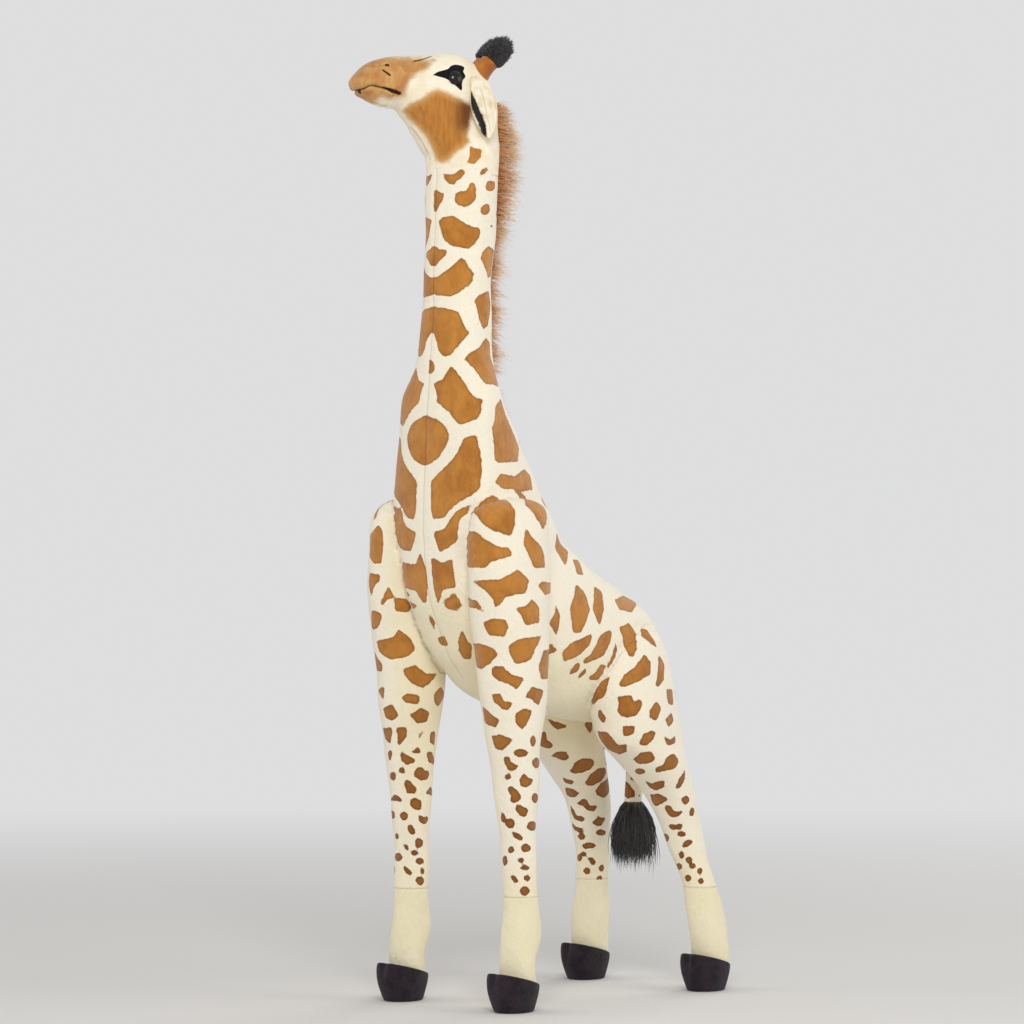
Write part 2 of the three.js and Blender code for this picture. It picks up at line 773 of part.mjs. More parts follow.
// Torso, lower neck and the frame through them
const torso = cut(solid(torsoSurface), frameBore, neckRodBore, tailSeat, ...legRodBores);
standing.add("torso", torso, furColour);
const neckPivot = vector(0, 0, neckRoot + neckSplitShare * neckLength);
const lowerNeck = beyond(neckSolid, neckPivot, downwards);
standing.add("neck_lower", cut(lowerNeck, torsoCutter, frameBore, neckRodBore, ...legRodBores), furColour);
standing.add("body_frame", bodyFrame(0), frameSteel);
standing.add("neck_rod", solid(neckRod), frameSteel);
const neckMane = maneFin(maneFootHeight, neckPivot.z - maneTopDrop, maneHeight, neckBackAt, twistAt);
standing.add("mane_neck", cut(neckMane, neckCutter, torsoCutter), maneFur);

// Upper neck: it turns on the lower neck, and its top is the bowl that the head rocks in
const collar = movingBody(root, origin, neckPivot, headTurn);

// A ball whose facets run round the axis that the head rocks about, made wider about that axis by a share.
function rockingBall(share) {
  const ball = new THREE.SphereGeometry(headBallRadius, ballSides, ballSides / 2).rotateZ(Math.PI / 2);
  return ball.scale(1, share, share).translate(headPivot.x, headPivot.y, headPivot.z);
}

const upperNeck = beyond(neckSolid, neckPivot.clone().addScaledVector(upwards, clearance), upwards);
const neckTopRim = vector(0, 0, neckTop);
const bowl = solid(grown(rockingBall(1 / Math.cos(Math.PI / ballSides)), clearance));
collar.add("neck_top", cut(beyond(upperNeck, neckTopRim, downwards), bowl, neckRodBore), furColour);

// Head and muzzle
const head = movingBody(collar.group, neckPivot, headPivot);
const headSurface = headSkin();
const headSolid = solid(headSurface);
const headCutter = solid(grown(headSurface, clearance));
const wireStart = vector(0, 0, headPivot.z - headBallRadius + neckRodRadius);
const wireBends = headWireShares.map(([forward, up]) => headPoint(forward, up));
const wirePath = [wireStart, headPivot.clone(), ...wireBends];
const headWire = rod(wirePath, headWireRadius, 2 * wirePath.length);
const wireEntry = bar(
  wireStart.clone().addScaledVector(downwards, cutterOverrun),
  upwards,
  headWireRadius + clearance,
  cutterOverrun + headWireRadius,
  rodSides,
);
const wireBore = solid(grown(headWire, clearance)).add(solid(wireEntry));
const ballPlug = neckSolid.intersect(solid(rockingBall(1)));

const seam = headRing(headShares[muzzleSeamRow], headSides);
const seamTop = seam.reduce((most, p) => (p.z > most.z ? p : most));
const seamBottom = seam.reduce((least, p) => (p.z < least.z ? p : least));
const seamLine = seamBottom.clone().sub(seamTop);
const ahead = vector(0, seamLine.z, -seamLine.y).normalize();

// A cutter drawn in side view, by points forward and up, that runs right across the head.
function acrossHead(points) {
  const shape = new THREE.Shape(points.map(({ y, z }) => new THREE.Vector2(y, z)));
  const geometry = new THREE.ExtrudeGeometry(shape, { depth: 2 * headHalfWidth, bevelEnabled: false });
  geometry.applyMatrix4(new THREE.Matrix4().makeBasis(vector(0, 1, 0), upwards, vector(1, 0, 0)));
  return solid(geometry.translate(-headHalfWidth, 0, 0));
}

// The mouth line, from in front of the nose to the corner of the mouth.
const mouthShares = [
  [1.09, 0.6],
  [0.93, 0.615],
  [0.86, 0.65],
  [0.785, 0.637],
  [0.72, 0.625],
  [0.61, 0.585],
];
const mouthLine = smooth(mouthShares, ringSteps).map(([forward, up]) => headPoint(forward, up));
const halfOpen = vector(0, 0, mouthWidth / 2);
const upperLip = mouthLine.map((p) => p.clone().add(halfOpen));
const lowerLip = mouthLine.map((p) => p.clone().sub(halfOpen)).reverse();
const innerHead = solid(grown(headSurface, -mouthDepth));
const mouth = acrossHead([...upperLip, ...lowerLip]).subtract(innerHead);

const nostrilRow = 8;
const nostrilAngle = THREE.MathUtils.degToRad(33);
function nostril(mirror) {
  const { place } = headSide(nostrilRow, nostrilAngle);
  const hollow = new THREE.SphereGeometry(1, smallSides, rodSides);
  hollow.scale(nostrilDepth, nostrilLength / 2, nostrilHeight / 2);
  return solid(hollow.translate(mirror * place.x, place.y, place.z));
}

// Eyes: a domed eye on a stem with a washer behind it, set through a felt surround
const eyeRow = 3.6;
const eyeAngle = THREE.MathUtils.degToRad(17);
const patchRow = 3.8;
const patchAngle = THREE.MathUtils.degToRad(9);
const eyeDomeShares = [
  [0, 1],
  [0.38, 0.92],
  [0.71, 0.71],
  [0.92, 0.38],
  [1, 0],
];

function eyeAxis(mirror) {
  const { place, out } = headSide(eyeRow, eyeAngle);
  return { place: vector(mirror * place.x, place.y, place.z), out: vector(mirror * out.x, out.y, out.z) };
}

function eyeProfile(extra) {
  const [eyeEdge, domeTop, stemEdge] = [eyeRadius + extra, eyeBulge + extra, eyeStemRadius + extra];
  const [patchBack, stemEnd] = [-eyePatchThickness - extra, -eyeStemLength - extra];
  const dome = eyeDomeShares.map(([around, high]) => [around * eyeEdge, high * domeTop]);
  const base = [[eyeEdge, patchBack], [stemEdge, patchBack], [stemEdge, stemEnd], [0, stemEnd]];
  return [...dome, ...base].reverse();
}

function eyeWasher(place, out, extra) {
  const seat = place.clone().addScaledVector(out, -eyeStemLength + eyeWasherThickness - extra);
  const [inner, outer] = [eyeStemRadius + clearance - extra, eyeWasherRadius + extra];
  const thick = eyeWasherThickness + 2 * extra;
  const profile = [[inner, 0], [outer, 0], [outer, thick], [inner, thick], [inner, 0]];
  return turned(profile, seat, out, smallSides);
}

// An almond between two arcs, laid on the side of the head and as thick as the felt.
function eyePatch(mirror, bare) {
  const { place, out } = headSide(patchRow, patchAngle);
  const normal = vector(mirror * out.x, out.y, out.z);
  const along = vector(0, -Math.cos(eyePatchTilt), Math.sin(eyePatchTilt)).projectOnPlane(normal).normalize();
  const shape = new THREE.Shape();
  shape.moveTo(-eyePatchLength / 2, 0);
  shape.quadraticCurveTo(0, eyePatchHeight, eyePatchLength / 2, 0);
  shape.quadraticCurveTo(0, -eyePatchHeight, -eyePatchLength / 2, 0);
  const depth = headHalfWidth;
  const prism = new THREE.ExtrudeGeometry(shape, { depth, curveSegments: rodSides, bevelEnabled: false });
  prism.applyMatrix4(new THREE.Matrix4().makeBasis(along, normal.clone().cross(along), normal));
  const start = vector(mirror * place.x, place.y, place.z).addScaledVector(normal, -depth / 2);
  const lens = solid(prism.translate(start.x, start.y, start.z));
  const layer = solid(grown(headSurface, clearance + eyePatchThickness)).subtract(headCutter);
  return cut(lens.intersect(layer), bare);
}

const sockets = [];
for (const [side, mirror] of [
  ["left", 1],
  ["right", -1],
]) {
  const { place, out } = eyeAxis(mirror);
  const bare = solid(turned(eyeProfile(clearance), place, out, smallSides));
  const washerPocket = solid(eyeWasher(place, out, clearance));
  sockets.push(bare, washerPocket);
  head.add(`eye_${side}`, solid(turned(eyeProfile(0), place, out, smallSides)), eyePlastic);
  head.add(`eye_washer_${side}`, solid(eyeWasher(place, out, 0)), washerPlastic);
  head.add(`eye_patch_${side}`, eyePatch(mirror, bare), blackFelt);
}

// Ossicones: two short horns that lean back, each with a black tuft over its end
const ossiconePlace = { forwardShare: -0.128, upShare: 0.8, outShare: 0.26 };
const ossiconeShares = [
  [0, 0],
  [1, 0],
  [0.98, 0.5],
  [0.88, 1],
  [0, 1],
];
const ossiconeTuftShares = [
  [0, 0],
  [0.82, 0],
  [1, 0.25],
  [0.97, 0.55],
  [0.75, 0.82],
  [0.4, 0.97],
  [0, 1],
];
for (const [side, mirror] of [
  ["left", 1],
  ["right", -1],
]) {
  const base = headPoint(ossiconePlace.forwardShare, ossiconePlace.upShare);
  base.x = mirror * ossiconePlace.outShare * headHalfWidth;
  const lean = vector(mirror * Math.sin(ossiconeSplay), Math.sin(ossiconeLean), Math.cos(ossiconeLean));
  lean.normalize();
  const sunk = base.clone().addScaledVector(lean, -ossiconeRadius);
  const length = ossiconeLength + ossiconeRadius;
  const horn = turned(
    ossiconeShares.map(([wide, far]) => [wide * ossiconeRadius, far * length]),
    sunk,
    lean,
    smallSides,
  );
  const tuft = turned(
    ossiconeTuftShares.map(([wide, far]) => [wide * ossiconeTuftRadius, far * ossiconeTuftLength]),
    sunk.clone().addScaledVector(lean, length + clearance),
    lean,
    smallSides,
  );
  head.add(`ossicone_${side}`, cut(solid(horn), headCutter), faceFur);
  head.add(`ossicone_tuft_${side}`, solid(tuft), blackFur);
}

// Ears: a cupped leaf on a rolled root that lies in a groove in the side of the head, with a lining
// Each row: down the ear, half width, stand-off from the head, thickness.
const earShares = [
  [0.01, 0.42, 0, 1],
  [0.1, 0.55, 0.4, 1],
  [0.22, 0.82, 0.85, 1],
  [0.4, 1, 1, 1],
  [0.62, 0.95, 1, 1],
  [0.8, 0.7, 0.95, 0.9],
  [0.93, 0.38, 0.9, 0.8],
  [1, 0.06, 0.88, 0.5],
];
const earRow = 3;
const earAngle = THREE.MathUtils.degToRad(34);
const liningWidthShare = 0.8;
const liningStartRow = 2;

function earPivot(mirror) {
  const { place, out } = headSide(earRow, earAngle);
  return vector(mirror * (place.x + out.x * earRootRadius), place.y, place.z + out.z * earRootRadius);
}

// Flat rings down the ear, each bent outwards towards its two edges.
function earLeaf(mirror, rows, widthShare, thickness, offset) {
  const pivot = earPivot(mirror);
  const down = vector(0, Math.sin(earSweep), -Math.cos(earSweep));
  const across = vector(0, -Math.cos(earSweep), -Math.sin(earSweep));
  const rings = rows.map(([far, wide, off, thick]) => {
    const halfWidth = wide * widthShare * earHalfWidth;
    const centre = pivot.clone().addScaledVector(down, far * earLength);
    return Array.from({ length: smallSides }, (_, i) => {
      const angle = (2 * Math.PI * i) / smallSides;
      const acrossBy = halfWidth * Math.cos(angle);
      const cup = earCup * (acrossBy / earHalfWidth) ** 2;
      const outBy = off * earStandOff + offset + cup + (Math.sin(angle) * thick * thickness) / 2;
      return centre.clone().addScaledVector(across, acrossBy).add(vector(mirror * outBy, 0, 0));
    });
  });
  return solid(loft(rings));
}

function earRoll(mirror) {
  const start = earPivot(mirror).add(vector(0, -earRootLength / 2, 0));
  return bar(start, vector(0, 1, 0), earRootRadius, earRootLength, smallSides);
}

const earSeats = [];
for (const [side, mirror] of [
  ["left", 1],
  ["right", -1],
]) {
  const ear = movingBody(head.group, headPivot, earPivot(mirror));
  const roll = earRoll(mirror);
  earSeats.push(solid(grown(roll, 2 * clearance)));
  const leaf = earLeaf(mirror, earShares, 1, earThickness, 0);
  const backing = solid(roll).add(leaf);
  const liningRows = earShares.slice(liningStartRow);
  const liningOffset = (earThickness + earLiningThickness) / 2 + clearance;
  const lining = earLeaf(mirror, liningRows, liningWidthShare, earLiningThickness, liningOffset);
  ear.add(`ear_${side}`, backing, furColour);
  ear.add(`ear_lining_${side}`, lining, creamFur);
}

// The head and the muzzle are cut last, by everything that is set into them.
const skull = beyond(headSolid.add(ballPlug), seamTop, ahead.clone().negate());
head.add("head", cut(skull, wireBore, ...sockets, ...earSeats), furColour);
const nose = beyond(headSolid, seamTop.clone().addScaledVector(ahead, clearance), ahead);
head.add("muzzle", cut(nose, wireBore, mouth, nostril(1), nostril(-1)), faceFur);
head.add("head_wire", solid(headWire), frameSteel);
const crownFoot = neckTop + crownManeFootRise;
const crownMane = maneFin(crownFoot, crownFoot + crownManeLength, crownManeHeight, headBackAt, () => 0);
head.add("mane_crown", cut(crownMane, headCutter, neckCutter), maneFur);

// The whole giraffe stands centred over the middle of its own outline.
const reach = new THREE.Box3().setFromObject(root, true);
const middle = reach.getCenter(vector(0, 0, 0));
root.position.set(-middle.x, -middle.y, -reach.min.z);

export default root;
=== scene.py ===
"""A standing plush giraffe as it is sewn, stuffed and brushed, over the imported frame."""

import bpy
import numpy as np
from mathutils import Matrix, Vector
from mathutils.bvhtree import BVHTree


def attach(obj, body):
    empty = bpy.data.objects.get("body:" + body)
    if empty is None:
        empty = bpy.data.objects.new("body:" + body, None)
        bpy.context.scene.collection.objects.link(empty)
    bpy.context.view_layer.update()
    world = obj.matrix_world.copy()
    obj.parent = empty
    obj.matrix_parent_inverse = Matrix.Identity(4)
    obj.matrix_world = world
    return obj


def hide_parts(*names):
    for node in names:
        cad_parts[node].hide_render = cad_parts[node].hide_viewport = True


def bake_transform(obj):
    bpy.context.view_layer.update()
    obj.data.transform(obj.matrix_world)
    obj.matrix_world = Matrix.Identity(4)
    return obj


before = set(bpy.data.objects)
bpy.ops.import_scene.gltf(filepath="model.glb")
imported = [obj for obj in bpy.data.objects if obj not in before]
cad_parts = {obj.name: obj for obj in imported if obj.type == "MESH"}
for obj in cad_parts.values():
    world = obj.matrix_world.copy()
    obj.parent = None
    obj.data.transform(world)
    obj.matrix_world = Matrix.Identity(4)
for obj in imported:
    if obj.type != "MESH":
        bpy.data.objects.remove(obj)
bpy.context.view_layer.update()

# The photographed view. The giraffe stands free on a pale floor in soft studio light, and the camera stands
# level with its chest, 43 degrees round from its front towards its left.
PICTURE_SIZE = 1024
PICTURE_MIDDLE = PICTURE_SIZE / 2
FOCAL_PIXELS = 4438
SENSOR_WIDTH = 36
VIEW_TURN = np.radians(43.3)
VIEW_RIGHT = np.array([np.cos(VIEW_TURN), np.sin(VIEW_TURN), 0])
VIEW_AHEAD = np.array([-np.sin(VIEW_TURN), np.cos(VIEW_TURN), 0])
UP = np.array([0, 0, 1.0])
NECK_LINE = np.array([0, -0.1428, 0])
CAMERA_HEIGHT = 0.7126
CAMERA_DISTANCE = 6.409
CAMERA_OFFSET = 0.072
CAMERA_PLACE = NECK_LINE + CAMERA_OFFSET * VIEW_RIGHT - CAMERA_DISTANCE * VIEW_AHEAD + CAMERA_HEIGHT * UP


def studio_view():
    """A level camera along VIEW_AHEAD whose lens shows FOCAL_PIXELS pixels to the radian."""
    camera = bpy.data.cameras.new("photograph_view")
    camera.sensor_width = SENSOR_WIDTH
    camera.lens = SENSOR_WIDTH * FOCAL_PIXELS / PICTURE_SIZE
    camera.clip_end = 100
    stand = bpy.data.objects.new("photograph_view", camera)
    stand.location = CAMERA_PLACE
    stand.rotation_euler = Vector(VIEW_AHEAD).to_track_quat("-Z", "Y").to_euler()
    bpy.context.collection.objects.link(stand)
    bpy.context.scene.camera = stand


def soft_lamp(name, place, aim, size, power):
    """A square area lamp at a place, facing another point."""
    lamp = bpy.data.lights.new(name, "AREA")
    lamp.size, lamp.energy = size, power
    stand = bpy.data.objects.new(name, lamp)
    stand.location = place
    stand.rotation_euler = (Vector(aim) - Vector(place)).to_track_quat("-Z", "Y").to_euler()
    bpy.context.collection.objects.link(stand)


studio_view()
CHEST = (0, 0, 0.8)
soft_lamp("key_lamp", (2.6, -2.6, 2.9), CHEST, 1.5, 74)
soft_lamp("side_lamp", (3.4, 1.4, 2.0), CHEST, 2.4, 30)
soft_lamp("fill_lamp", (-2.6, -2.8, 1.6), CHEST, 2.6, 26)
soft_lamp("rim_lamp", (-0.6, 3.4, 2.8), CHEST, 2.2, 30)
bpy.context.scene.view_settings.view_transform = "Standard"


class Term:
    """A number that varies over a surface, as the output of a node. Arithmetic on it adds Math nodes."""

    def __init__(self, finish, socket):
        self.finish, self.socket = finish, socket

    def math(self, operation, *values):
        return self.finish.node("ShaderNodeMath", {"operation": operation}, dict(enumerate(values)))

    def __add__(self, other):
        return self.math("ADD", self, other)

    def __sub__(self, other):
        return self.math("SUBTRACT", self, other)

    def __rsub__(self, other):
        return self.math("SUBTRACT", other, self)

    def __mul__(self, other):
        return self.math("MULTIPLY", self, other)

    __radd__, __rmul__ = __add__, __mul__

    def rise(self, low, high):
        """0 up to low and 1 from high, with an eased slope between them."""
        settings = {"interpolation_type": "SMOOTHSTEP"}
        return self.finish.node("ShaderNodeMapRange", settings, {"Value": self, 1: low, 2: high})


class Finish:
    """A material being made: node() adds any node to it, and the rest are the nodes its finishes share."""

    def __init__(self, holder):
        self.material = bpy.data.materials.new(holder) if isinstance(holder, str) else holder
        self.material.use_nodes = True
        self.tree = self.material.node_tree
        self.tree.nodes.clear()

    def node(self, kind, settings, sockets, output=0):
        """Adds a node, sets its settings, then its sockets from numbers, colours or other nodes."""
        made = self.tree.nodes.new(kind)
        for name, value in settings.items():
            setattr(made, name, value)
        for name, value in sockets.items():
            if isinstance(value, Term):
                self.tree.links.new(value.socket, made.inputs[name])
            else:
                made.inputs[name].default_value = value
        return Term(self, made.outputs[output])

    def place(self):
        return self.node("ShaderNodeTexCoord", {}, {}, "Object")

    def attribute(self, name):
        return self.node("ShaderNodeAttribute", {"attribute_name": name}, {}, "Fac")

    def noise(self, place, scale, detail=2.0, rough=0.5):
        return self.node(
            "ShaderNodeTexNoise", {}, {"Vector": place, "Scale": scale, "Detail": detail, "Roughness": rough}
        )

    def stretched(self, place, stretch):
        """The place scaled along each axis, so that what is drawn on it is drawn out the other way."""
        return self.node("ShaderNodeMapping", {}, {"Vector": place, "Scale": stretch})

    def mixed(self, first, second, share):
        """The first colour where the share is 0 and the second where it is 1."""
        return self.node("ShaderNodeMix", {"data_type": "RGBA"}, {6: first, 7: second, 0: share}, 2)

    def bump(self, height, distance, strength=1.0):
        return self.node("ShaderNodeBump", {}, {"Height": height, "Distance": distance, "Strength": strength})

    def surface(self, sockets):
        shader = self.node("ShaderNodeBsdfPrincipled", {}, sockets)
        self.node_output(shader)
        return self.material

    def node_output(self, shader):
        output = self.tree.nodes.new("ShaderNodeOutputMaterial")
        self.tree.links.new(shader.socket, output.inputs["Surface"])


def colour(red, green, blue):
    """A colour as it is seen on screen, from 0 to 255, turned into the linear light that shaders add up."""
    screen = np.array([red, green, blue]) / 255
    linear = np.where(screen <= 0.04045, screen / 12.92, ((screen + 0.055) / 1.055) ** 2.4)
    return (*linear.tolist(), 1.0)


FLOOR_COLOUR = colour(226, 224, 221)
BACKDROP_COLOUR = colour(222, 222, 223)
FLOOR_HALF = 12.0
FLOOR_FADE_START, FLOOR_FADE_END = 1.0, 4.5


def sees_backdrop(finish):
    """1 for rays from the camera and for those that a shiny or clear piece sends on, otherwise 0."""
    asked = ("Camera", "Glossy", "Transmission")
    kinds = [finish.node("ShaderNodeLightPath", {}, {}, f"Is {kind} Ray") for kind in asked]
    return kinds[0].math("MAXIMUM", kinds[0].math("MAXIMUM", kinds[0], kinds[1]), kinds[2])


def pale_floor():
    """A flat square floor that keeps the giraffe's shadow and turns into the backdrop further off."""
    corners = [(x * FLOOR_HALF, y * FLOOR_HALF, 0) for x, y in ((-1, -1), (1, -1), (1, 1), (-1, 1))]
    mesh = bpy.data.meshes.new("floor")
    mesh.from_pydata(corners, [], [(0, 1, 2, 3)])
    floor = bpy.data.objects.new("floor", mesh)
    bpy.context.collection.objects.link(floor)
    finish = Finish("floor")
    matt = finish.node("ShaderNodeBsdfPrincipled", {}, {"Base Color": FLOOR_COLOUR, "Roughness": 0.9})
    glow = finish.node("ShaderNodeEmission", {}, {"Color": BACKDROP_COLOUR, "Strength": 1.0})
    away = finish.node("ShaderNodeVectorMath", {"operation": "LENGTH"}, {0: finish.place()}, "Value")
    share = away.rise(FLOOR_FADE_START, FLOOR_FADE_END) * sees_backdrop(finish)
    finish.node_output(finish.node("ShaderNodeMixShader", {}, {0: share, 1: matt, 2: glow}))
    mesh.materials.append(finish.material)


def pale_world():
    """Even pale light from all round, and the plain backdrop colour where the camera looks past the toy."""
    world = bpy.data.worlds.new("studio")
    world.use_nodes = True
    finish = Finish(world)
    light = finish.node("ShaderNodeBackground", {}, {"Color": (1, 1, 1, 1), "Strength": 0.42})
    backdrop = finish.node("ShaderNodeBackground", {}, {"Color": BACKDROP_COLOUR, "Strength": 1.0})
    shown = finish.node("ShaderNodeMixShader", {}, {0: sees_backdrop(finish), 1: light, 2: backdrop})
    output = finish.tree.nodes.new("ShaderNodeOutputWorld")
    finish.tree.links.new(shown.socket, output.inputs["Surface"])
    bpy.context.scene.world = world


pale_floor()
pale_world()

# The coat. Tan-spotted plush over firm fibre filling: the body and neck are one sewn bag, and each leg is
# another sewn to it, with cream socks below. The skins are made as one surface merged from lofts, then cut
# at the seams.
TORSO_START, TORSO_LENGTH, TORSO_HALF_WIDTH = -0.078, 0.450, 0.100
BELLY_HEIGHT, WITHERS_HEIGHT = 0.398, 0.735
# Each row: along the torso, top, bottom and widest height above the belly, half width.
TORSO_SHARES = [
    [0, 0.79, 0.735, 0.763, 0.05],
    [0.013, 0.896, 0.599, 0.748, 0.45],
    [0.062, 0.97, 0.436, 0.718, 0.72],
    [0.129, 1, 0.288, 0.659, 0.88],
    [0.24, 0.985, 0.145, 0.57, 0.96],
    [0.373, 0.941, 0.08, 0.51, 0.98],
    [0.507, 0.866, 0.05, 0.451, 0.98],
    [0.64, 0.754, 0.03, 0.392, 0.98],
    [0.751, 0.665, 0.006, 0.347, 1],
    [0.862, 0.593, 0, 0.303, 0.98],
    [0.94, 0.525, 0.036, 0.288, 0.84],
    [0.982, 0.451, 0.11, 0.288, 0.58],
    [1, 0.32, 0.27, 0.294, 0.05],
]
NECK_ROOT_SHARE = 0.718
NECK_LENGTH, NECK_FRONT, NECK_BACK, NECK_HALF_WIDTH = 0.582, 0.080, 0.200, 0.098
# Each row: height, reach ahead, reach behind, where it is widest (negative is ahead), half width.
NECK_SHARES = [
    [0, 0.9, 1, -0.25, 0.98],
    [0.069, 1, 0.9, -0.375, 1],
    [0.155, 1, 0.725, -0.44, 0.97],
    [0.302, 0.95, 0.45, -0.44, 0.87],
    [0.402, 0.9, 0.23, -0.375, 0.82],
    [0.464, 0.85, 0.21, -0.34, 0.66],
    [0.526, 0.8, 0.21, -0.275, 0.54],
    [0.651, 0.76, 0.2, -0.14, 0.49],
    [0.773, 0.725, 0.235, -0.075, 0.49],
    [0.899, 0.69, 0.265, 0, 0.5],
    [1, 0.66, 0.27, 0, 0.51],
    [1.04, 0.66, 0.27, 0, 0.5],
]
# Each row: height, spread outwards, sway back, half width, half depth.
FRONT_LEG_SHARES = [
    [1, 0, -0.2, 0.05, 0.05],
    [0.992, 0.05, -0.2, 0.55, 0.55],
    [0.975, 0.06, -0.25, 0.86, 0.86],
    [0.952, 0.235, -0.5, 0.95, 0.95],
    [0.905, 0.29, -0.65, 0.99, 0.99],
    [0.85, 0.35, -0.65, 0.99, 0.99],
    [0.79, 0.41, -0.58, 0.97, 0.96],
    [0.735, 0.44, -0.42, 0.94, 0.89],
    [0.68, 0.47, -0.25, 0.92, 0.83],
    [0.596, 0.5, -0.08, 0.88, 0.74],
    [0.5, 0.59, -0.08, 0.7, 0.554],
    [0.405, 0.706, 0.17, 0.6, 0.457],
    [0.31, 0.82, 0.42, 0.5, 0.364],
    [0.218, 0.88, 0.5, 0.5, 0.36],
    [0.145, 0.95, 0.62, 0.528, 0.45],
    [0.095, 1, -0.1, 0.537, 0.345],
    [0.04, 1, 0, 0.528, 0.389],
]
HIND_LEG_SHARES = [
    [1, 0, -0.02, 0.05, 0.05],
    [0.986, 0.02, -0.03, 0.4, 0.46],
    [0.964, 0.04, -0.05, 0.62, 0.74],
    [0.904, 0.08, -0.09, 0.88, 1.04],
    [0.804, 0.16, -0.1, 1, 1.16],
    [0.714, 0.24, -0.01, 0.98, 1.15],
    [0.66, 0.28, 0.07, 0.915, 1.09],
    [0.602, 0.35, 0.28, 0.85, 0.81],
    [0.495, 0.43, 0.62, 0.64, 0.52],
    [0.361, 0.6, 0.82, 0.5, 0.4],
    [0.286, 0.78, 0.91, 0.48, 0.38],
    [0.196, 0.92, 0.98, 0.52, 0.43],
    [0.125, 0.98, 1, 0.52, 0.43],
    [0.05, 1, 1, 0.52, 0.43],
]
LEGS = {
    "front": {
        "shares": FRONT_LEG_SHARES, "height": WITHERS_HEIGHT, "root": (0.094, 0), "foot": (0.111, 0.012),
        "half": (0.050, 0.070), "sock": 0.165,
    },
    "hind": {
        "shares": HIND_LEG_SHARES, "height": 0.5601, "root": (0.062, 0.29505), "foot": (0.121, 0.40705),
        "half": (0.052, 0.068), "sock": 0.155,
    },
}
SIDES = {"left": 1, "right": -1}
BODY_SIDES, LEG_SIDES = 64, 40
# How much of the way to their neighbours' middle points are drawn, in and then out again.
RELAX_IN, RELAX_OUT = 0.6, -0.5


def smoothed(rows, steps):
    """Rows filled in down each column by a Catmull-Rom curve, in that many steps from row to row."""
    rows = np.asarray(rows, float)
    held = np.vstack([rows[:1], rows, rows[-1:]])
    a, b, c, d = (held[i : i + len(rows) - 1, None] for i in range(4))
    t = (np.arange(steps) / steps)[None, :, None]
    curve = (2 * b + (c - a) * t + (2 * a - 5 * b + 4 * c - d) * t**2 + (3 * (b - c) + d - a) * t**3) / 2
    return np.vstack([curve.reshape(-1, rows.shape[1]), rows[-1:]])


def ring_grid(centre, side, up, down, sides):
    """Rings of points: centre + side cos(a) + up sin(a) on the upper half, + down |sin(a)| on the lower."""
    angle = np.linspace(0, 2 * np.pi, sides, endpoint=False)
    wide, high = np.cos(angle)[None, :, None], np.sin(angle)[None, :, None]
    lift = np.where(high > 0, up[:, None], down[:, None])
    return centre[:, None] + side[:, None] * wide + lift * np.abs(high)


def closed(grid):
    """Points and faces of a run of rings, with each end ring drawn together at its middle, faces outwards."""
    rows, sides, _ = grid.shape
    points = np.vstack([grid.reshape(-1, 3), grid[0].mean(0), grid[-1].mean(0)])
    ring = np.arange(sides)
    row = np.arange(rows - 1)[:, None] * sides
    after = (ring + 1) % sides
    quads = np.stack([row + ring, row + after, row + sides + after, row + sides + ring], -1).reshape(-1, 4)
    first, last = rows * sides, rows * sides + 1
    start = np.stack([np.full(sides, first), after, ring], -1)
    end = np.stack([np.full(sides, last), (rows - 1) * sides + ring, (rows - 1) * sides + after], -1)
    faces = quads.tolist() + start.tolist() + end.tolist()
    a, b, c, d = (points[quads[:, k]] for k in range(4))
    facing = np.einsum("ij,ij->i", np.cross(c - a, d - b), (a + c) / 2 - points.mean(0)).sum()
    return points, [face[::-1] for face in faces] if facing < 0 else faces


def column(*values):
    """Values side by side as an array of points, each a number or one number for every point."""
    return np.stack(np.broadcast_arrays(*[np.asarray(value, float) for value in values]), -1)


def torso_up(share):
    return BELLY_HEIGHT + share * (WITHERS_HEIGHT - BELLY_HEIGHT)


NECK_ROOT = torso_up(NECK_ROOT_SHARE)
NECK_TOP = NECK_ROOT + NECK_LENGTH


def torso_rows(steps=6):
    """Along, top, bottom, widest height and half width of the torso in metres, from the neck's line."""
    along, top, bottom, widest, width = smoothed(TORSO_SHARES, steps).T
    return (
        TORSO_START + along * TORSO_LENGTH, torso_up(top), torso_up(bottom), torso_up(widest),
        width * TORSO_HALF_WIDTH,
    )


def neck_rows(steps=6):
    """Height, front, back, widest place and half width of the neck in metres, from the neck's line."""
    height, front, back, widest, width = smoothed(NECK_SHARES, steps).T
    return (
        NECK_ROOT + height * NECK_LENGTH, -front * NECK_FRONT, back * NECK_BACK, widest * NECK_FRONT,
        width * NECK_HALF_WIDTH,
    )


def leg_rows(leg, steps=6):
    """Height, outward place, backward place, half width and half depth of a leg in metres."""
    height, spread, back, width, depth = smoothed(leg["shares"], steps).T
    (root_out, root_back), (foot_out, foot_back) = leg["root"], leg["foot"]
    return (
        height * leg["height"], root_out + spread * (foot_out - root_out),
        root_back + back * (foot_back - root_back), width * leg["half"][0], depth * leg["half"][1],
    )


def torso_form():
    """Upright ellipses across the body, each half as high as the top or bottom is from the widest line."""
    along, top, bottom, widest, width = torso_rows()
    centre = column(0, along, widest)
    up, down = column(0, 0, top - widest), column(0, 0, bottom - widest)
    return closed(ring_grid(centre, column(width, 0, 0), up, down, BODY_SIDES))


def neck_form():
    """Level ellipses up the neck, each half as long as the front or the back is from the widest line."""
    height, front, back, widest, width = neck_rows()
    centre = column(0, widest, height)
    behind, ahead = column(0, back - widest, 0), column(0, front - widest, 0)
    return closed(ring_grid(centre, column(width, 0, 0), behind, ahead, BODY_SIDES))


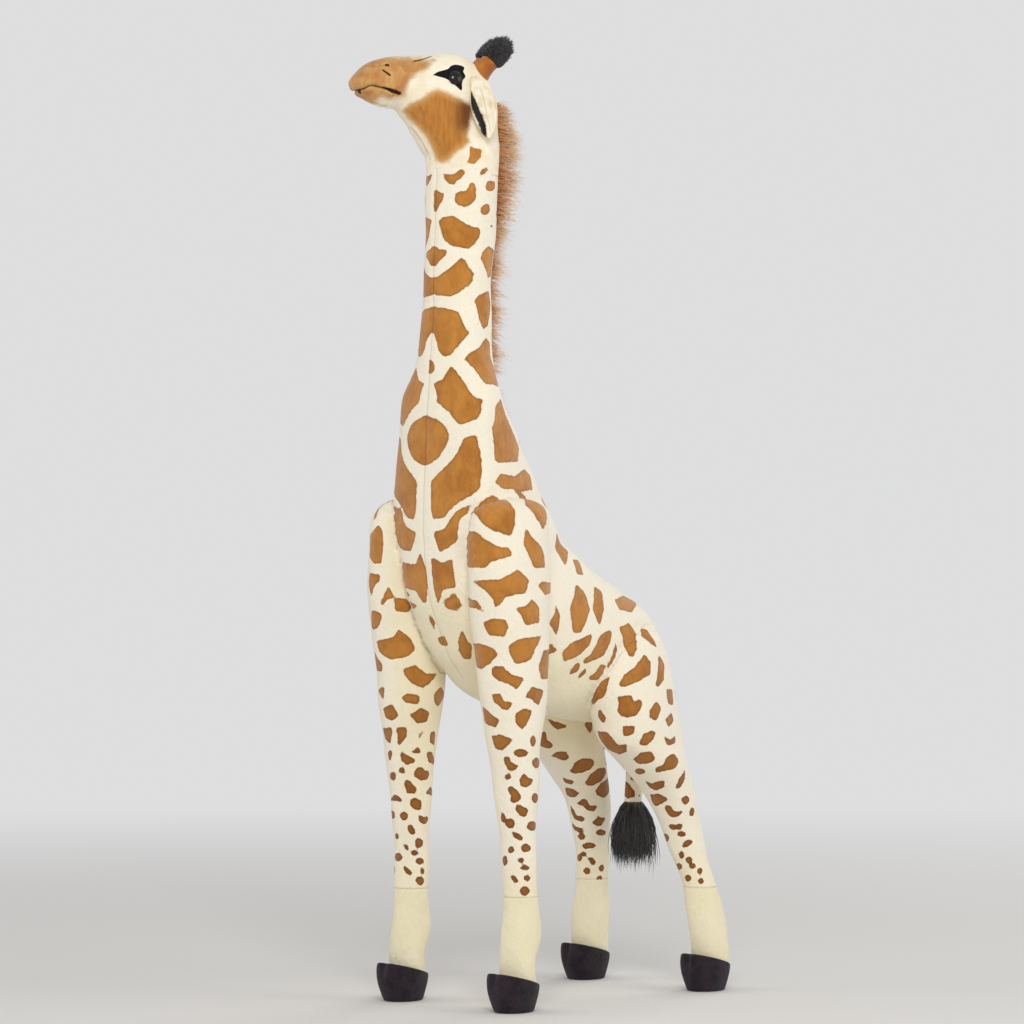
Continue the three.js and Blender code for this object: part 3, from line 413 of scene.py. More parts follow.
def leg_form(leg, mirror):
    """Level ellipses down the leg."""
    height, out, back, width, depth = leg_rows(leg)
    centre = column(mirror * out, back, height)
    behind, ahead = column(0, depth, 0), column(0, -depth, 0)
    return closed(ring_grid(centre, column(width, 0, 0), behind, ahead, LEG_SIDES))


def merged(forms, voxel):
    """One closed surface round overlapping forms: points and four-cornered faces about a voxel across."""
    points, faces = [], []
    for form_points, form_faces in forms:
        faces += [[corner + len(points) for corner in face] for face in form_faces]
        points += form_points.tolist()
    mesh = bpy.data.meshes.new("forms")
    mesh.from_pydata(points, [], faces)
    blank = bpy.data.objects.new("forms", mesh)
    bpy.context.collection.objects.link(blank)
    remesh = blank.modifiers.new("skin", "REMESH")
    remesh.mode, remesh.voxel_size = "VOXEL", voxel
    skin = blank.evaluated_get(bpy.context.evaluated_depsgraph_get()).to_mesh()
    found = np.empty(len(skin.vertices) * 3, np.float32)
    skin.vertices.foreach_get("co", found)
    corners = np.empty(len(skin.loops), np.int32)
    skin.loops.foreach_get("vertex_index", corners)
    blank.to_mesh_clear()
    bpy.data.objects.remove(blank)
    bpy.data.meshes.remove(mesh)
    return found.reshape(-1, 3).astype(float), corners.reshape(-1, 4)


def quad_edges(quads):
    """Each edge of each face as two corners, in order round the face."""
    return np.stack([quads, np.roll(quads, -1, 1)], -1).reshape(-1, 2)


def relaxed(points, quads, rounds, share):
    """Points drawn towards the middle of their neighbours and back out again, so bumps go and size stays."""
    edges = quad_edges(quads)
    edges = edges[edges[:, 0] < edges[:, 1]]
    ends = np.concatenate([edges[:, 0], edges[:, 1]])
    others = np.concatenate([edges[:, 1], edges[:, 0]])
    counts = np.bincount(ends, minlength=len(points))[:, None]
    share = np.broadcast_to(share, len(points))[:, None]
    for turn in range(2 * rounds):
        middle = np.stack([np.bincount(ends, points[others, k], len(points)) for k in range(3)], -1) / counts
        points = points + (middle - points) * share * (RELAX_IN if turn % 2 == 0 else RELAX_OUT)
    return points


def unit(vectors):
    return vectors / np.linalg.norm(vectors, axis=-1, keepdims=True)


def normals_of(points, quads):
    """Unit normals at points: the sum of the crossed diagonals of the faces round each one."""
    a, b, c, d = (points[quads[:, k]] for k in range(4))
    face = np.cross(c - a, d - b)
    corners = quads.ravel()
    total = np.stack([np.bincount(corners, np.repeat(face[:, k], 4), len(points)) for k in range(3)], -1)
    return total / np.maximum(np.linalg.norm(total, axis=1), 1e-12)[:, None]


def ellipse_gap(offset_a, offset_b, half_a, half_b):
    """How far a point is outside an ellipse: its distance from the middle less the ellipse's that way."""
    reach = np.sqrt((offset_a / half_a) ** 2 + (offset_b / half_b) ** 2)
    return (reach - 1) * np.minimum(half_a, half_b)


def body_gap(points):
    """How far points are outside the torso or the neck, whichever is nearer."""
    x, y, z = points.T
    along, top, bottom, widest, width = torso_rows()
    middle, high, low = (np.interp(y, along, row) for row in (widest, top, bottom))
    tall = np.where(z > middle, high - middle, middle - low)
    torso = ellipse_gap(x, z - middle, np.interp(y, along, width), tall)
    torso += np.maximum(0, np.maximum(along[0] - y, y - along[-1]))
    height, front, back, widest, width = neck_rows()
    middle, ahead, behind = (np.interp(z, height, row) for row in (widest, front, back))
    long = np.where(y > middle, behind - middle, middle - ahead)
    neck = ellipse_gap(x, y - middle, np.interp(z, height, width), long)
    neck += np.maximum(0, height[0] - z)
    return np.minimum(torso, neck)


def leg_gap(points, leg, mirror):
    """How far points are outside a leg."""
    x, y, z = points.T
    height, out, back, width, depth = (row[::-1] for row in leg_rows(leg))
    out, back, width, depth = (np.interp(z, height, row) for row in (out, back, width, depth))
    return ellipse_gap(x - mirror * out, y - back, width, depth) + np.maximum(0, z - height[-1])


def eased(values, low, high):
    """0 up to low and 1 from high, with an eased slope between: t squared times (3 - 2 t)."""
    share = np.clip((values - low) / (high - low), 0, 1)
    return share**2 * (3 - 2 * share)


def swells(points):
    """Slow swells left by the stuffing, from -1 to 1: the mean of the sines along three slanted ways."""
    ways = np.array([[70, 23, 31], [-29, 61, 44], [17, -48, 67]])
    starts = np.array([0.3, 1.7, 4.1])
    return np.sin(points @ ways.T + starts).mean(1)


COAT_VOXEL = 0.0033
COAT_ROUNDS, SEAM_ROUNDS, SEAM_REACH = 4, 14, 0.02
SEAM_DEPTH, SEAM_WIDTH = 0.0030, 0.005
SWELL, PUCKER, PUCKER_WIDTH = 0.0016, 0.0007, 0.012
PUCKER_WAYS = np.array([190, 340, 480])
CHEST_SEAM_DEPTH, CHEST_SEAM_WIDTH, CHEST_SEAM_FOOT, CHEST_FACING = 0.0014, 0.004, 0.47, -0.3
# The distance from a seam that is given to points with no seam near them.
NO_SEAM = 0.05
HEAD_COAT_START = 1.205
# Where the plain yellow-cream begins and where it is full: by how far the surface faces down on the belly and
# inwards on a leg, by the height inside a leg, and by minus the height above a sock.
BELLY_FACING, BELLY_TOP = (0.08, 0.36), 0.6
INNER_FACING, INNER_FADE = (0.1, 0.7), (0.2, 0.35)
SOCK_FADE = (-0.235, -0.165)
# The label of what is cut away: the top of the neck on the coat, and the collar on the head.
CUT_AWAY = 9
LIMBS = [(end, side, leg, mirror) for end, leg in LEGS.items() for side, mirror in SIDES.items()]

coat_forms = [torso_form(), neck_form()] + [leg_form(leg, mirror) for _, _, leg, mirror in LIMBS]
coat_points, coat_quads = merged(coat_forms, COAT_VOXEL)
limb_gaps = np.stack([leg_gap(coat_points, leg, mirror) for _, _, leg, mirror in LIMBS])
seam_offset = limb_gaps.min(0) - body_gap(coat_points)
near_seam = np.exp(-((seam_offset / SEAM_REACH) ** 2))
coat_points = relaxed(coat_points, coat_quads, COAT_ROUNDS, 1.0)
coat_points = relaxed(coat_points, coat_quads, SEAM_ROUNDS, near_seam)
coat_out = normals_of(coat_points, coat_quads)
limb_gaps = np.stack([leg_gap(coat_points, leg, mirror) for _, _, leg, mirror in LIMBS])
seam_offset = limb_gaps.min(0) - body_gap(coat_points)
gathers = np.sin(coat_points @ PUCKER_WAYS) * np.exp(-((seam_offset / PUCKER_WIDTH) ** 2))
on_chest = (coat_out[:, 1] < CHEST_FACING) & (coat_points[:, 2] > CHEST_SEAM_FOOT) & (seam_offset > 0)
chest_seam = np.where(on_chest, coat_points[:, 0], NO_SEAM)
coat_shift = SWELL * swells(coat_points) + PUCKER * gathers
coat_shift -= SEAM_DEPTH * np.exp(-((seam_offset / SEAM_WIDTH) ** 2))
coat_shift -= CHEST_SEAM_DEPTH * np.exp(-((chest_seam / CHEST_SEAM_WIDTH) ** 2))
coat_points += coat_out * coat_shift[:, None]

# Labels: 0 for the body and neck, 1 to 4 for the legs, 5 to 8 for the socks.
coat_label = np.where(seam_offset < 0, 1 + limb_gaps.argmin(0), 0)
for number, (_, _, leg, _) in enumerate(LIMBS):
    below = (coat_label == number + 1) & (coat_points[:, 2] < leg["sock"])
    coat_label[below] = number + 1 + len(LIMBS)
coat_label[coat_points[:, 2] > HEAD_COAT_START] = CUT_AWAY
quad_label = coat_label[coat_quads].min(1)
coat_points[:, 1] += NECK_LINE[1]
coat_out = normals_of(coat_points, coat_quads)

# Which skin each point belongs to, with a sock counted as its leg, and how far it is plain yellow-cream: the
# belly, the insides of the legs and the last stretch above a sock.
coat_skin = np.where(coat_label > len(LIMBS), coat_label - len(LIMBS), coat_label)
coat_skin[coat_label == CUT_AWAY] = 0
skin_side = np.array([0] + [mirror for _, _, _, mirror in LIMBS])[coat_skin]
belly_share = eased(-coat_out[:, 2], *BELLY_FACING) * (coat_skin == 0) * (coat_points[:, 2] < BELLY_TOP)
inner_share = eased(-skin_side * coat_out[:, 0], *INNER_FACING) * eased(coat_points[:, 2], *INNER_FADE)
sock_share = eased(-coat_points[:, 2], *SOCK_FADE) * (coat_skin > 0)
coat_under = np.max([belly_share, inner_share * (coat_skin > 0), sock_share], 0)

# A cut piece gains one point for each piece that it meets, and it meets this many at most.
MOST_HUBS = 9


def capped(points, quads, labels, label):
    """One label's faces as a closed mesh: each hole where another label begins is drawn to its middle."""
    sorted_edges = np.sort(quad_edges(quads), 1)
    order = np.lexsort(sorted_edges.T)
    owner = np.repeat(np.arange(len(quads)), 4)[order]
    first, second = owner[0::2], owner[1::2]
    directed = quad_edges(quads)
    faces = quads[labels == label].tolist()
    hubs = []
    for mine, theirs, place in ((first, second, order[0::2]), (second, first, order[1::2])):
        for other in np.unique(labels[theirs[labels[mine] == label]]):
            if other == label:
                continue
            hubs.append((other, directed[place[(labels[mine] == label) & (labels[theirs] == other)]]))
    points = points.tolist()
    for other in {hub[0] for hub in hubs}:
        rim = np.vstack([edges for number, edges in hubs if number == other])
        points.append(np.asarray(points)[rim[:, 0]].mean(0).tolist())
        faces += [[b, a, len(points) - 1] for a, b in rim.tolist()]
    used = np.unique(np.concatenate([np.ravel(face) for face in faces]))
    number = {old: new for new, old in enumerate(used.tolist())}
    return np.asarray(points)[used], [[number[corner] for corner in face] for face in faces], used


def new_piece(name, points, faces, material, attributes=None):
    """A smooth-shaded object at the origin from points and faces, with numbers kept at its points by name."""
    mesh = bpy.data.meshes.new(name)
    mesh.from_pydata(np.asarray(points).tolist(), [], faces if isinstance(faces, list) else faces.tolist())
    mesh.shade_smooth()
    for title, values in (attributes or {}).items():
        kept = mesh.attributes.new(title, "FLOAT", "POINT")
        kept.data.foreach_set("value", np.asarray(values, np.float32))
    mesh.materials.append(material)
    piece = bpy.data.objects.new(name, mesh)
    bpy.context.collection.objects.link(piece)
    return piece


CREAM = colour(253, 244, 222)
TAN = colour(198, 134, 58)
DEEP_TAN = colour(166, 102, 40)
LIGHT_TAN = colour(214, 148, 66)
PATCH_EDGE = colour(128, 74, 28)
SOCK_CREAM = colour(251, 241, 209)
# Painted shadow drawn along the groove of the chest's middle seam.
SEAM_GROOVE_SHADOW = colour(132, 84, 46)
PILE_SHEEN = {"Sheen Weight": 0.35, "Sheen Roughness": 0.45, "Specular IOR Level": 0.2}
# How high the bumps of the pile are in metres, on the body and on the face and ears.
PILE, SHORT_PILE = 0.0024, 0.0012


def pile_bump(finish, place, distance):
    """Short pile that lies down the body: fine grain drawn out along the nap, over wider tufts."""
    grain = finish.noise(finish.stretched(place, (1.0, 1.0, 0.4)), 420, 2.0, 0.6)
    tufts = finish.noise(place, 90, 2.0)
    return finish.bump(grain * 0.65 + tufts * 0.5, distance)


def pile_surface(finish, place, shade, distance=PILE, rough=0.92, sheen=PILE_SHEEN):
    """The surface of a matt plush in a shade, with its pile."""
    normal = pile_bump(finish, place, distance)
    return finish.surface({"Base Color": shade, "Roughness": rough, "Normal": normal, **sheen})


def spotted_plush():
    """Cream plush printed with tan patches: the patch attribute is the distance inside a patch, in metres."""
    finish = Finish("spotted_plush")
    place = finish.place()
    ragged = (finish.noise(place, 130, 4.0, 0.65) - 0.5) * 0.005
    patch = finish.attribute("patch") + ragged
    height = finish.node("ShaderNodeSeparateXYZ", {}, {"Vector": place}, "Z")
    grain = finish.noise(finish.stretched(place, (1.0, 1.0, 0.35)), 260, 3.0, 0.65)
    cloud = finish.noise(place, 24, 4.0, 0.6).rise(0.33, 0.72)
    tufts = finish.noise(finish.stretched(place, (1.0, 1.0, 0.6)), 64, 3.0, 0.6).rise(0.42, 0.7)
    tan = finish.mixed(TAN, DEEP_TAN, cloud * 0.75 + (grain - 0.5) * 0.9)
    tan = finish.mixed(tan, LIGHT_TAN, tufts * 0.45)
    edge = (1 - patch.rise(0.0, 0.0042)) * 0.45 + (1 - height.rise(0.26, 0.62)) * 0.6
    tan = finish.mixed(tan, PATCH_EDGE, edge)
    cream = finish.mixed(CREAM, SOCK_CREAM, finish.attribute("under"))
    cream = finish.mixed(cream, colour(238, 222, 184), grain.rise(0.52, 0.85) * 0.45)
    shade = finish.mixed(cream, tan, patch.rise(-0.0006, 0.0006))
    # Painted shadow in the groove of the chest's middle seam, stronger over the tan.
    seam = finish.attribute("seam")
    seam_groove_shadow = 1 - seam.math("ABSOLUTE", seam).rise(0.0003, 0.0014)
    shade = finish.mixed(shade, SEAM_GROOVE_SHADOW, seam_groove_shadow * (0.28 + patch.rise(-0.001, 0.001) * 0.4))
    return pile_surface(finish, place, shade)


def plain_plush(name, first, second, scale=26, sheen=PILE_SHEEN):
    """Plush of one colour that clouds into a second."""
    finish = Finish(name)
    place = finish.place()
    shade = finish.mixed(first, second, finish.noise(place, scale, 3.0, 0.55).rise(0.35, 0.7))
    return pile_surface(finish, place, shade, sheen=sheen)


# Outlines of the printed patches in pixels of the photographed view, one of them painted shade, and spots as
# their middle, half width and half height.
NECK_PATCHES = [
    [(470, 146), (482, 150), (481, 157), (475, 164), (467, 163), (470, 155)],
    [(478, 174), (482, 175), (489, 170), (487, 167), (481, 170)],
    [(441, 173), (446, 174), (453.5, 175), (460.5, 169), (466, 171), (461.5, 178), (456.5, 181),
     (453.5, 185), (448, 183), (444, 178)],
    [(487, 181), (495, 181), (495, 189), (489, 192), (485.5, 189)],
    [(434, 189.5), (436, 189.5), (444, 194), (443, 200), (439, 205), (436.5, 212.5), (434, 212.5)],
    [(454.5, 200), (455.5, 193), (459.5, 191.5), (466.5, 191), (470, 183), (474.5, 182.5), (476, 186),
     (476, 198), (472, 204), (464.5, 207), (457.5, 205)],
    [(483, 205), (489.5, 203), (490, 211), (486, 215.5), (480.5, 213.5), (480.5, 208)],
    [(438, 219.5), (445, 217), (452.5, 215.5), (458.5, 218.5), (466.5, 224.5), (475, 227),
     (480.5, 228), (479.5, 238), (475, 243), (469, 249), (459.5, 247.5), (451.5, 245.5), (445, 241),
     (442, 234)],
    [(488.5, 225.5), (493, 224.5), (492, 228.5)],
    [(434, 246), (436, 245.5), (439, 249.5), (448, 250.5), (444, 257.5), (440, 260), (436.5, 266.5),
     (434, 266)],
    [(488, 246), (494, 251), (494, 275.5), (488, 278), (484, 265.5), (480, 258.5), (483, 251)],
    [(432, 276), (435.5, 278), (443.5, 272.5), (451.5, 266.5), (461.5, 257.5), (464.5, 259.5),
     (469, 267.5), (474, 273.5), (472, 283), (464.5, 288), (457.5, 294), (449.5, 296.5), (437, 295.5),
     (432, 292.5)],
    [(474, 300.5), (480, 294.5), (488.5, 290.5), (493, 304.5), (488, 325), (483.5, 329.5),
     (479.5, 321.5), (477.5, 310)],
    [(432, 306), (437.5, 307.5), (444.5, 308), (451, 310), (458, 311), (460.5, 316), (462.5, 323),
     (469.5, 333), (462.5, 341), (454.5, 350.5), (449, 356.5), (442, 355.5), (438.5, 350.5),
     (436.5, 341), (434, 334.5), (432, 332)],
    [(429, 359), (431, 358.5), (435, 365.5), (433.5, 372), (431, 374.5), (429, 374)],
    [(464, 359), (470.5, 352.5), (478.5, 348), (485.5, 337.5), (490, 343.5), (493.5, 355),
     (502, 367.5), (502, 385), (485.5, 384), (481, 379), (477.5, 373.5), (470.5, 365.5)],
    [(451, 365.5), (458, 373.5), (465, 383.5), (469.5, 391.5), (475.5, 397.5), (482.5, 399.5),
     (481, 411), (477.5, 419), (468.5, 422.5), (460.5, 425), (456, 421.5), (449, 412.5), (442, 406.5),
     (436.5, 402), (437, 394), (433, 383.5), (442, 380), (446.5, 372)],
    [(500.5, 398.5), (507.5, 411), (516.5, 430.5), (519, 448), (517.5, 462), (499, 463),
     (494.5, 460.5), (494, 445), (492, 428.5), (495, 419), (495, 406.5)],
]
CHEST_PATCHES = [
    [(425, 416), (428, 415.5), (439.5, 420.5), (446, 427), (449, 435), (448.5, 441), (445, 448),
     (438, 458.5), (430, 464), (425, 466.5)],
    [(431, 481.5), (438.5, 473.5), (450, 462), (458, 451), (464, 438), (476.5, 434.5), (479.5, 448),
     (482, 462), (481.5, 476), (479.5, 489), (471, 496), (458, 503), (450, 510), (444, 518),
     (433, 519.5), (431, 510)],
    [(494.5, 482.5), (500.5, 474), (514.5, 476), (524, 469), (530.5, 476), (532.5, 490),
     (521.5, 491.5), (511.5, 489), (503, 489)],
    [(514.5, 490), (525.5, 496), (537, 494.5), (542.5, 504), (546.5, 524), (542.5, 529.5),
     (535.5, 518), (525.5, 505.5), (520, 497)],
    [(471, 514), (478, 505.5), (486.5, 498), (496, 496), (506, 500), (515, 511), (515, 524),
     (511.5, 535), (508.5, 536), (493.5, 531), (482, 524)],
    [(433.5, 532), (444, 529.5), (450, 519.5), (457, 510), (472, 503.5), (468, 512.5), (459.5, 519.5),
     (457, 532), (458, 539.5), (450, 546.5), (440, 552), (436.5, 543.5)],
    [(466.5, 531), (476.5, 532), (486.5, 540.5), (500.5, 547.5), (508.5, 547.5), (512, 556),
     (500.5, 559), (490.5, 561.5), (485, 568), (468, 567.5), (464.5, 550.5)],
    [(525.5, 526.5), (531, 536.5), (541, 546.5), (544, 554.5), (545, 567.5), (534, 567.5),
     (530, 557.5), (523.5, 545)],
    [(556.5, 532), (563.5, 540.5), (567.5, 550.5), (565.5, 566), (560.5, 557.5), (555, 546.5)],
    [(431.5, 557.5), (443, 563), (452, 559), (454, 574.5), (455.5, 587), (443, 589), (438.5, 604),
     (434.5, 591), (432.5, 574.5)],
    [(444, 602.5), (451, 597), (459.5, 592.5), (466.5, 595.5), (476.5, 601), (483.5, 611.5),
     (476.5, 608), (466.5, 604), (461, 608), (455.5, 610), (447, 608)],
    [(472, 581.5), (486.5, 580), (499, 580), (510, 574.5), (517, 569.5), (523, 574.5), (529, 580),
     (525.5, 592.5), (514.5, 594.5), (504.5, 597), (500.5, 604), (495.5, 607.5), (493.5, 598),
     (483.5, 588.5)],
    [(538, 585.5), (542.5, 581.5), (556.5, 584), (555, 592.5), (545, 594.5)],
    [(515.5, 608), (525.5, 606.5), (532, 599.5), (539, 608), (539, 622), (525.5, 625), (523, 616.5)],
    [(555, 604), (560, 615), (556.5, 634.5), (549.5, 623.5), (548, 612)],
    [(483.5, 622), (493.5, 619), (504.5, 620), (508, 627.5), (504.5, 636), (489, 634.5), (485.5, 627.5)],
    [(429, 614), (435, 622), (434, 629), (430, 621)],
    [(438, 639), (444, 636), (448, 646), (442, 645)],
    [(392, 503.6), (400.2, 508.7), (402.7, 513.2), (403.4, 520.8), (407.2, 527.8), (416.1, 532.3),
     (414.8, 538.7), (410.4, 551.4), (402.1, 549.5), (392, 543.8)],
    [(394.5, 560), (404.6, 562.9), (416.1, 564.8), (419.9, 552.7), (423.8, 561.6), (426.3, 571.8),
     (427.6, 585.9), (426.3, 602.4), (422.5, 601.8), (416.1, 591), (407.2, 587.8), (396.5, 588)],
    [(462, 631.1), (464.6, 636.9), (467.1, 642), (471, 645), (471.5, 652), (470, 658.6),
     (464.6, 658.6), (459.5, 650.9), (458.9, 639.4)],
]
FLANK_PATCHES = [
    [(576, 584.5), (585, 593.5), (589.5, 609.5), (580.5, 632.5), (573.5, 632.5), (570, 609.5)],
    [(573, 560), (578, 560), (583, 575), (577, 574)],
    [(594, 586.5), (601, 591), (603.5, 609.5), (599, 625.5), (593, 609.5)],
    [(562, 653), (571, 644), (592, 633.5), (589.5, 644), (578, 655.5), (564.5, 661)],
    [(611.4, 630.9), (610.4, 639.6), (607.3, 647.8), (603.3, 654.9), (595.1, 659), (584.9, 663.1),
     (582.9, 661), (591, 654.9), (596.1, 645.7), (600.2, 636.5), (605.3, 632.4)],
    # The next is painted shade: the dark fold at the front edge of the near thigh, drawn as a thin patch.
    [(616, 641.6), (617, 647.8), (615, 658), (609.4, 667.7), (606.8, 667.1), (611.4, 658), (614, 649.8)],
    [(579.3, 663.1), (579.8, 666.1), (577.8, 670.2), (569.6, 675.3), (571.6, 670.2), (574.7, 665.1)],
    [(586.4, 668.2), (584.9, 673.3), (577.8, 678.4), (579.3, 675.3), (582.9, 671.2)],
    [(601.2, 664.6), (605.3, 666.1), (603.3, 672.2), (598.2, 679.4), (590, 679.4), (589, 677.3),
     (595.6, 673.3)],
    [(615, 600.5), (624, 596), (636, 603), (631, 612), (619.5, 609.5)],
]
FRONT_LEFT_PATCHES = [
    [(471.5, 643.3), (478.6, 643.9), (487.6, 646.5), (493.9, 649.6), (496.5, 654.1), (490.1, 662.4),
     (481.2, 668.8), (474.8, 666.2), (472.5, 658.6), (471, 650)],
    [(509, 646.5), (518.5, 639.5), (541.5, 636), (534.5, 648.5), (530, 660), (516, 663.5),
     (511.5, 655.5)],
    [(493, 667), (502.5, 667), (511.5, 676), (524, 678.5), (516, 689), (509, 683), (498, 679.5),
     (492, 674)],
    [(492, 694.5), (500, 694.5), (503.5, 701.5), (512.5, 703.5), (508, 709.5), (501, 707),
     (494.5, 701.5)],
    [(525.5, 697), (532, 687.5), (543.5, 691), (538, 705), (531, 698)],
    [(483, 707), (488.5, 712), (499, 721), (495.5, 726.5), (485, 722)],
    [(516, 714), (523, 709.5), (531, 710.5), (528.5, 720), (522, 729), (516, 722)],
    [(543.5, 651), (550.5, 645), (556.5, 651), (548.5, 676), (541.5, 678.5), (539, 667)],
    [(492, 736), (500, 735), (513, 740), (508, 744), (502, 750), (496, 748)],
    [(505, 757), (509, 758), (511, 763), (518, 766), (514, 770), (508, 769), (505, 763)],
    [(520, 780), (524, 774), (527, 778), (533, 780), (530, 784), (526, 787), (521, 785)],
    [(508, 788), (512, 787), (517, 791), (521, 797), (518, 801), (510, 802), (512, 796)],
    [(515, 807), (521, 806), (528, 810), (526, 816), (520, 815)],
    [(501, 811), (505, 816), (505, 822), (502, 822)],
    [(512, 832), (518, 834), (523, 839), (520, 840), (514, 836)],
    [(510, 875), (514, 876), (518, 882), (515, 883)],
]
FRONT_LEFT_SPOTS = [
    (521, 753, 7, 3.2), (536, 763, 3.5, 4.6), (508, 777, 2.8, 2.6), (535, 798, 3, 4.6),
    (510, 823, 4.4, 4.4), (532, 826, 4.6, 4.2), (526, 848, 4.4, 3.8), (511, 850, 2.8, 2.8),
    (505, 861, 2, 4.8), (521, 860, 3.6, 1.4), (525, 868, 4.4, 1.9), (527, 878, 3, 2.7),
    (525, 891, 4.2, 4), (533, 741, 2.6, 5),
]
FRONT_RIGHT_PATCHES = [
    [(384.5, 494), (387, 497), (382, 506), (377, 516), (373.5, 522), (376, 512), (380, 502)],
    [(379.1, 524.6), (382.7, 531), (383.2, 541.2), (382.7, 551.4), (381, 562.9), (374, 563.5),
     (369.6, 555.3), (367.9, 546.3), (370.2, 536.1), (374, 529.7)],
    [(369.6, 573.1), (379.8, 575), (379.1, 580.8), (375.3, 584.6), (372.8, 589.7), (372.1, 597.3),
     (370.2, 591), (368.9, 582)],
    [(388.7, 587.1), (393.4, 596.1), (392.5, 598.6), (387.4, 598.6), (382.3, 605), (381, 602.4),
     (384.9, 593.5)],
    [(372.1, 610.4), (381.9, 613.3), (381, 617.8), (379.8, 621.6), (379.1, 625.4), (374.7, 628.6),
     (372.1, 628), (371.5, 619)],
    [(394.5, 598), (406, 599.5), (416.5, 606), (408, 612), (395.5, 610.5)],
    [(377, 641.5), (394.5, 637), (399, 630), (410.5, 639.5), (415, 648.5), (408, 655.5), (392, 659),
     (380.5, 653)],
    [(403.5, 669.5), (415, 666), (426.5, 675), (437, 674), (431, 681), (422, 687.5), (413, 683),
     (406, 676)],
    [(401.5, 698), (408, 693.5), (419.5, 697), (417.5, 703.5), (406, 701.5)],
    [(434.5, 694.5), (440.5, 687.5), (444, 694.5), (438, 706), (434.5, 701.5)],
    [(384, 708.5), (392, 705), (398, 715), (392, 720), (385.5, 716.5)],
    [(410.5, 715), (419.5, 708.5), (429, 712), (426.5, 721), (417.5, 723)],
    [(382, 729), (392, 728), (390, 743), (385.5, 738)],
    [(397, 728), (406, 728), (406, 736), (399, 745)],
    [(418.5, 736.5), (422, 731), (423, 732), (420, 738)],
    [(373, 653), (382, 664.5), (381.5, 671.5), (373, 669.5)],
    [(378.5, 690), (384, 687.5), (383, 698)],
    [(431, 733), (435, 732), (434, 745), (430, 741)],
    [(412, 752), (417, 748), (421, 750), (420, 753)],
    [(401, 752), (406, 755), (411, 758), (415, 760), (412, 763), (407, 764), (402, 760)],
    [(427, 753), (431, 752), (434, 764), (429, 762)],
    [(414, 775), (417, 768), (422, 768), (424, 771), (429, 772), (428, 778), (421, 780)],
    [(405, 781), (409, 781), (412, 785), (416, 788), (415, 793), (407, 793), (406, 787)],
    [(430, 787), (434, 791), (434, 796), (426, 793)],
    [(391, 800), (395, 795), (401, 799), (401, 802), (396, 800)],
    [(411, 800), (416, 799), (421, 801), (421, 808), (417, 810), (411, 806)],
    [(419, 816), (424, 818), (428, 817), (427, 822), (423, 824), (420, 821)],
    [(408, 825), (412, 826), (415, 832), (413, 835), (409, 831)],
    [(403, 844), (407, 846), (409, 850), (405, 848)],
    [(404, 866), (408, 869), (412, 873), (410, 875), (405, 871)],
]
FRONT_RIGHT_SPOTS = [
    (390, 755, 1.6, 4.6), (402, 770.5, 2.8, 2.6), (393, 776, 2.8, 3.8), (392, 815, 3.2, 3.6),
    (404, 816, 3.6, 3.8), (419, 843, 3.6, 4.4), (397, 836, 1.6, 2.4), (415, 853, 3.4, 2.2),
    (398.5, 857, 3.6, 3.6), (419.6, 861, 4.2, 2.6), (393, 845, 1.6, 2.8), (422.5, 871, 1.8, 3),
    (393.5, 870, 1.6, 4), (420, 881, 4, 3.6),
]
HIND_LEFT_PATCHES = [
    [(619.5, 628), (628.5, 623.5), (635.5, 632.5), (635.5, 651), (631, 658), (624, 644)],
    [(640, 628), (647, 630.5), (656, 646.5), (651.5, 644), (642.5, 637)],
    [(624, 676), (635.5, 667), (644.5, 655.5), (650.5, 662.5), (649.5, 674), (638, 681), (624, 686.5),
     (619.5, 685.5)],
    [(658.5, 655.5), (664, 664.5), (663, 681), (656, 687.5), (658.5, 671.5)],
    [(618.1, 697.2), (626.7, 696.2), (631.3, 696.2), (632.9, 701.8), (635.9, 702.9), (640, 699.8),
     (641.5, 702.9), (640.5, 708), (635.9, 715.1), (627.8, 717.1), (621.6, 715.6), (618.1, 711),
     (619.6, 702.9)],
    [(650.5, 710.5), (656, 701.5), (661, 708.5), (656, 720), (649.5, 717.5)],
    [(608.4, 677.3), (606.8, 685.5), (604.3, 696.7), (599.2, 697.8), (593.1, 703.9), (590.5, 702.9),
     (594.1, 694.7), (594.1, 689.6), (601.2, 682.4)],
    [(599, 708.5), (605.5, 717.5), (603.5, 723), (599, 717.5)],
    [(623, 726.5), (634.5, 726.5), (633, 733.5), (624, 736)],
    [(640, 744), (643, 735), (651, 731.5), (655, 732.5), (652, 740), (646, 745)],
    [(665.5, 720), (671, 713), (673.5, 720), (669, 726.5)],
    [(666.5, 690), (672, 690), (673, 704), (668, 703)],
    [(664, 737), (670, 741), (675, 736), (675, 742), (668, 745)],
    [(598, 732), (606, 732), (612, 738), (617, 745), (626, 745), (626, 751), (619, 754), (608, 752),
     (604, 744), (600, 738)],
    [(634, 759), (641, 753), (650, 752), (655, 759), (648, 763), (638, 763)],
    [(674, 754), (678, 761), (675, 768), (666, 770), (657, 772), (656, 768), (664, 765), (667, 757)],
    [(645, 781), (652, 784), (658, 782), (664, 781), (663, 787), (656, 790), (650, 787)],
    [(651, 795), (658, 794), (668, 799), (661, 803), (655, 806), (652, 800)],
    [(685, 770), (684, 780), (679, 788), (676, 788), (680, 778)],
    [(665, 805), (671, 807), (673, 812), (682, 811), (680, 815), (672, 817), (667, 812)],
    [(668, 825), (675, 825), (682, 824), (681, 828), (672, 829)],
    [(682, 845), (688, 840), (693, 841), (691, 844), (684, 847)],
]
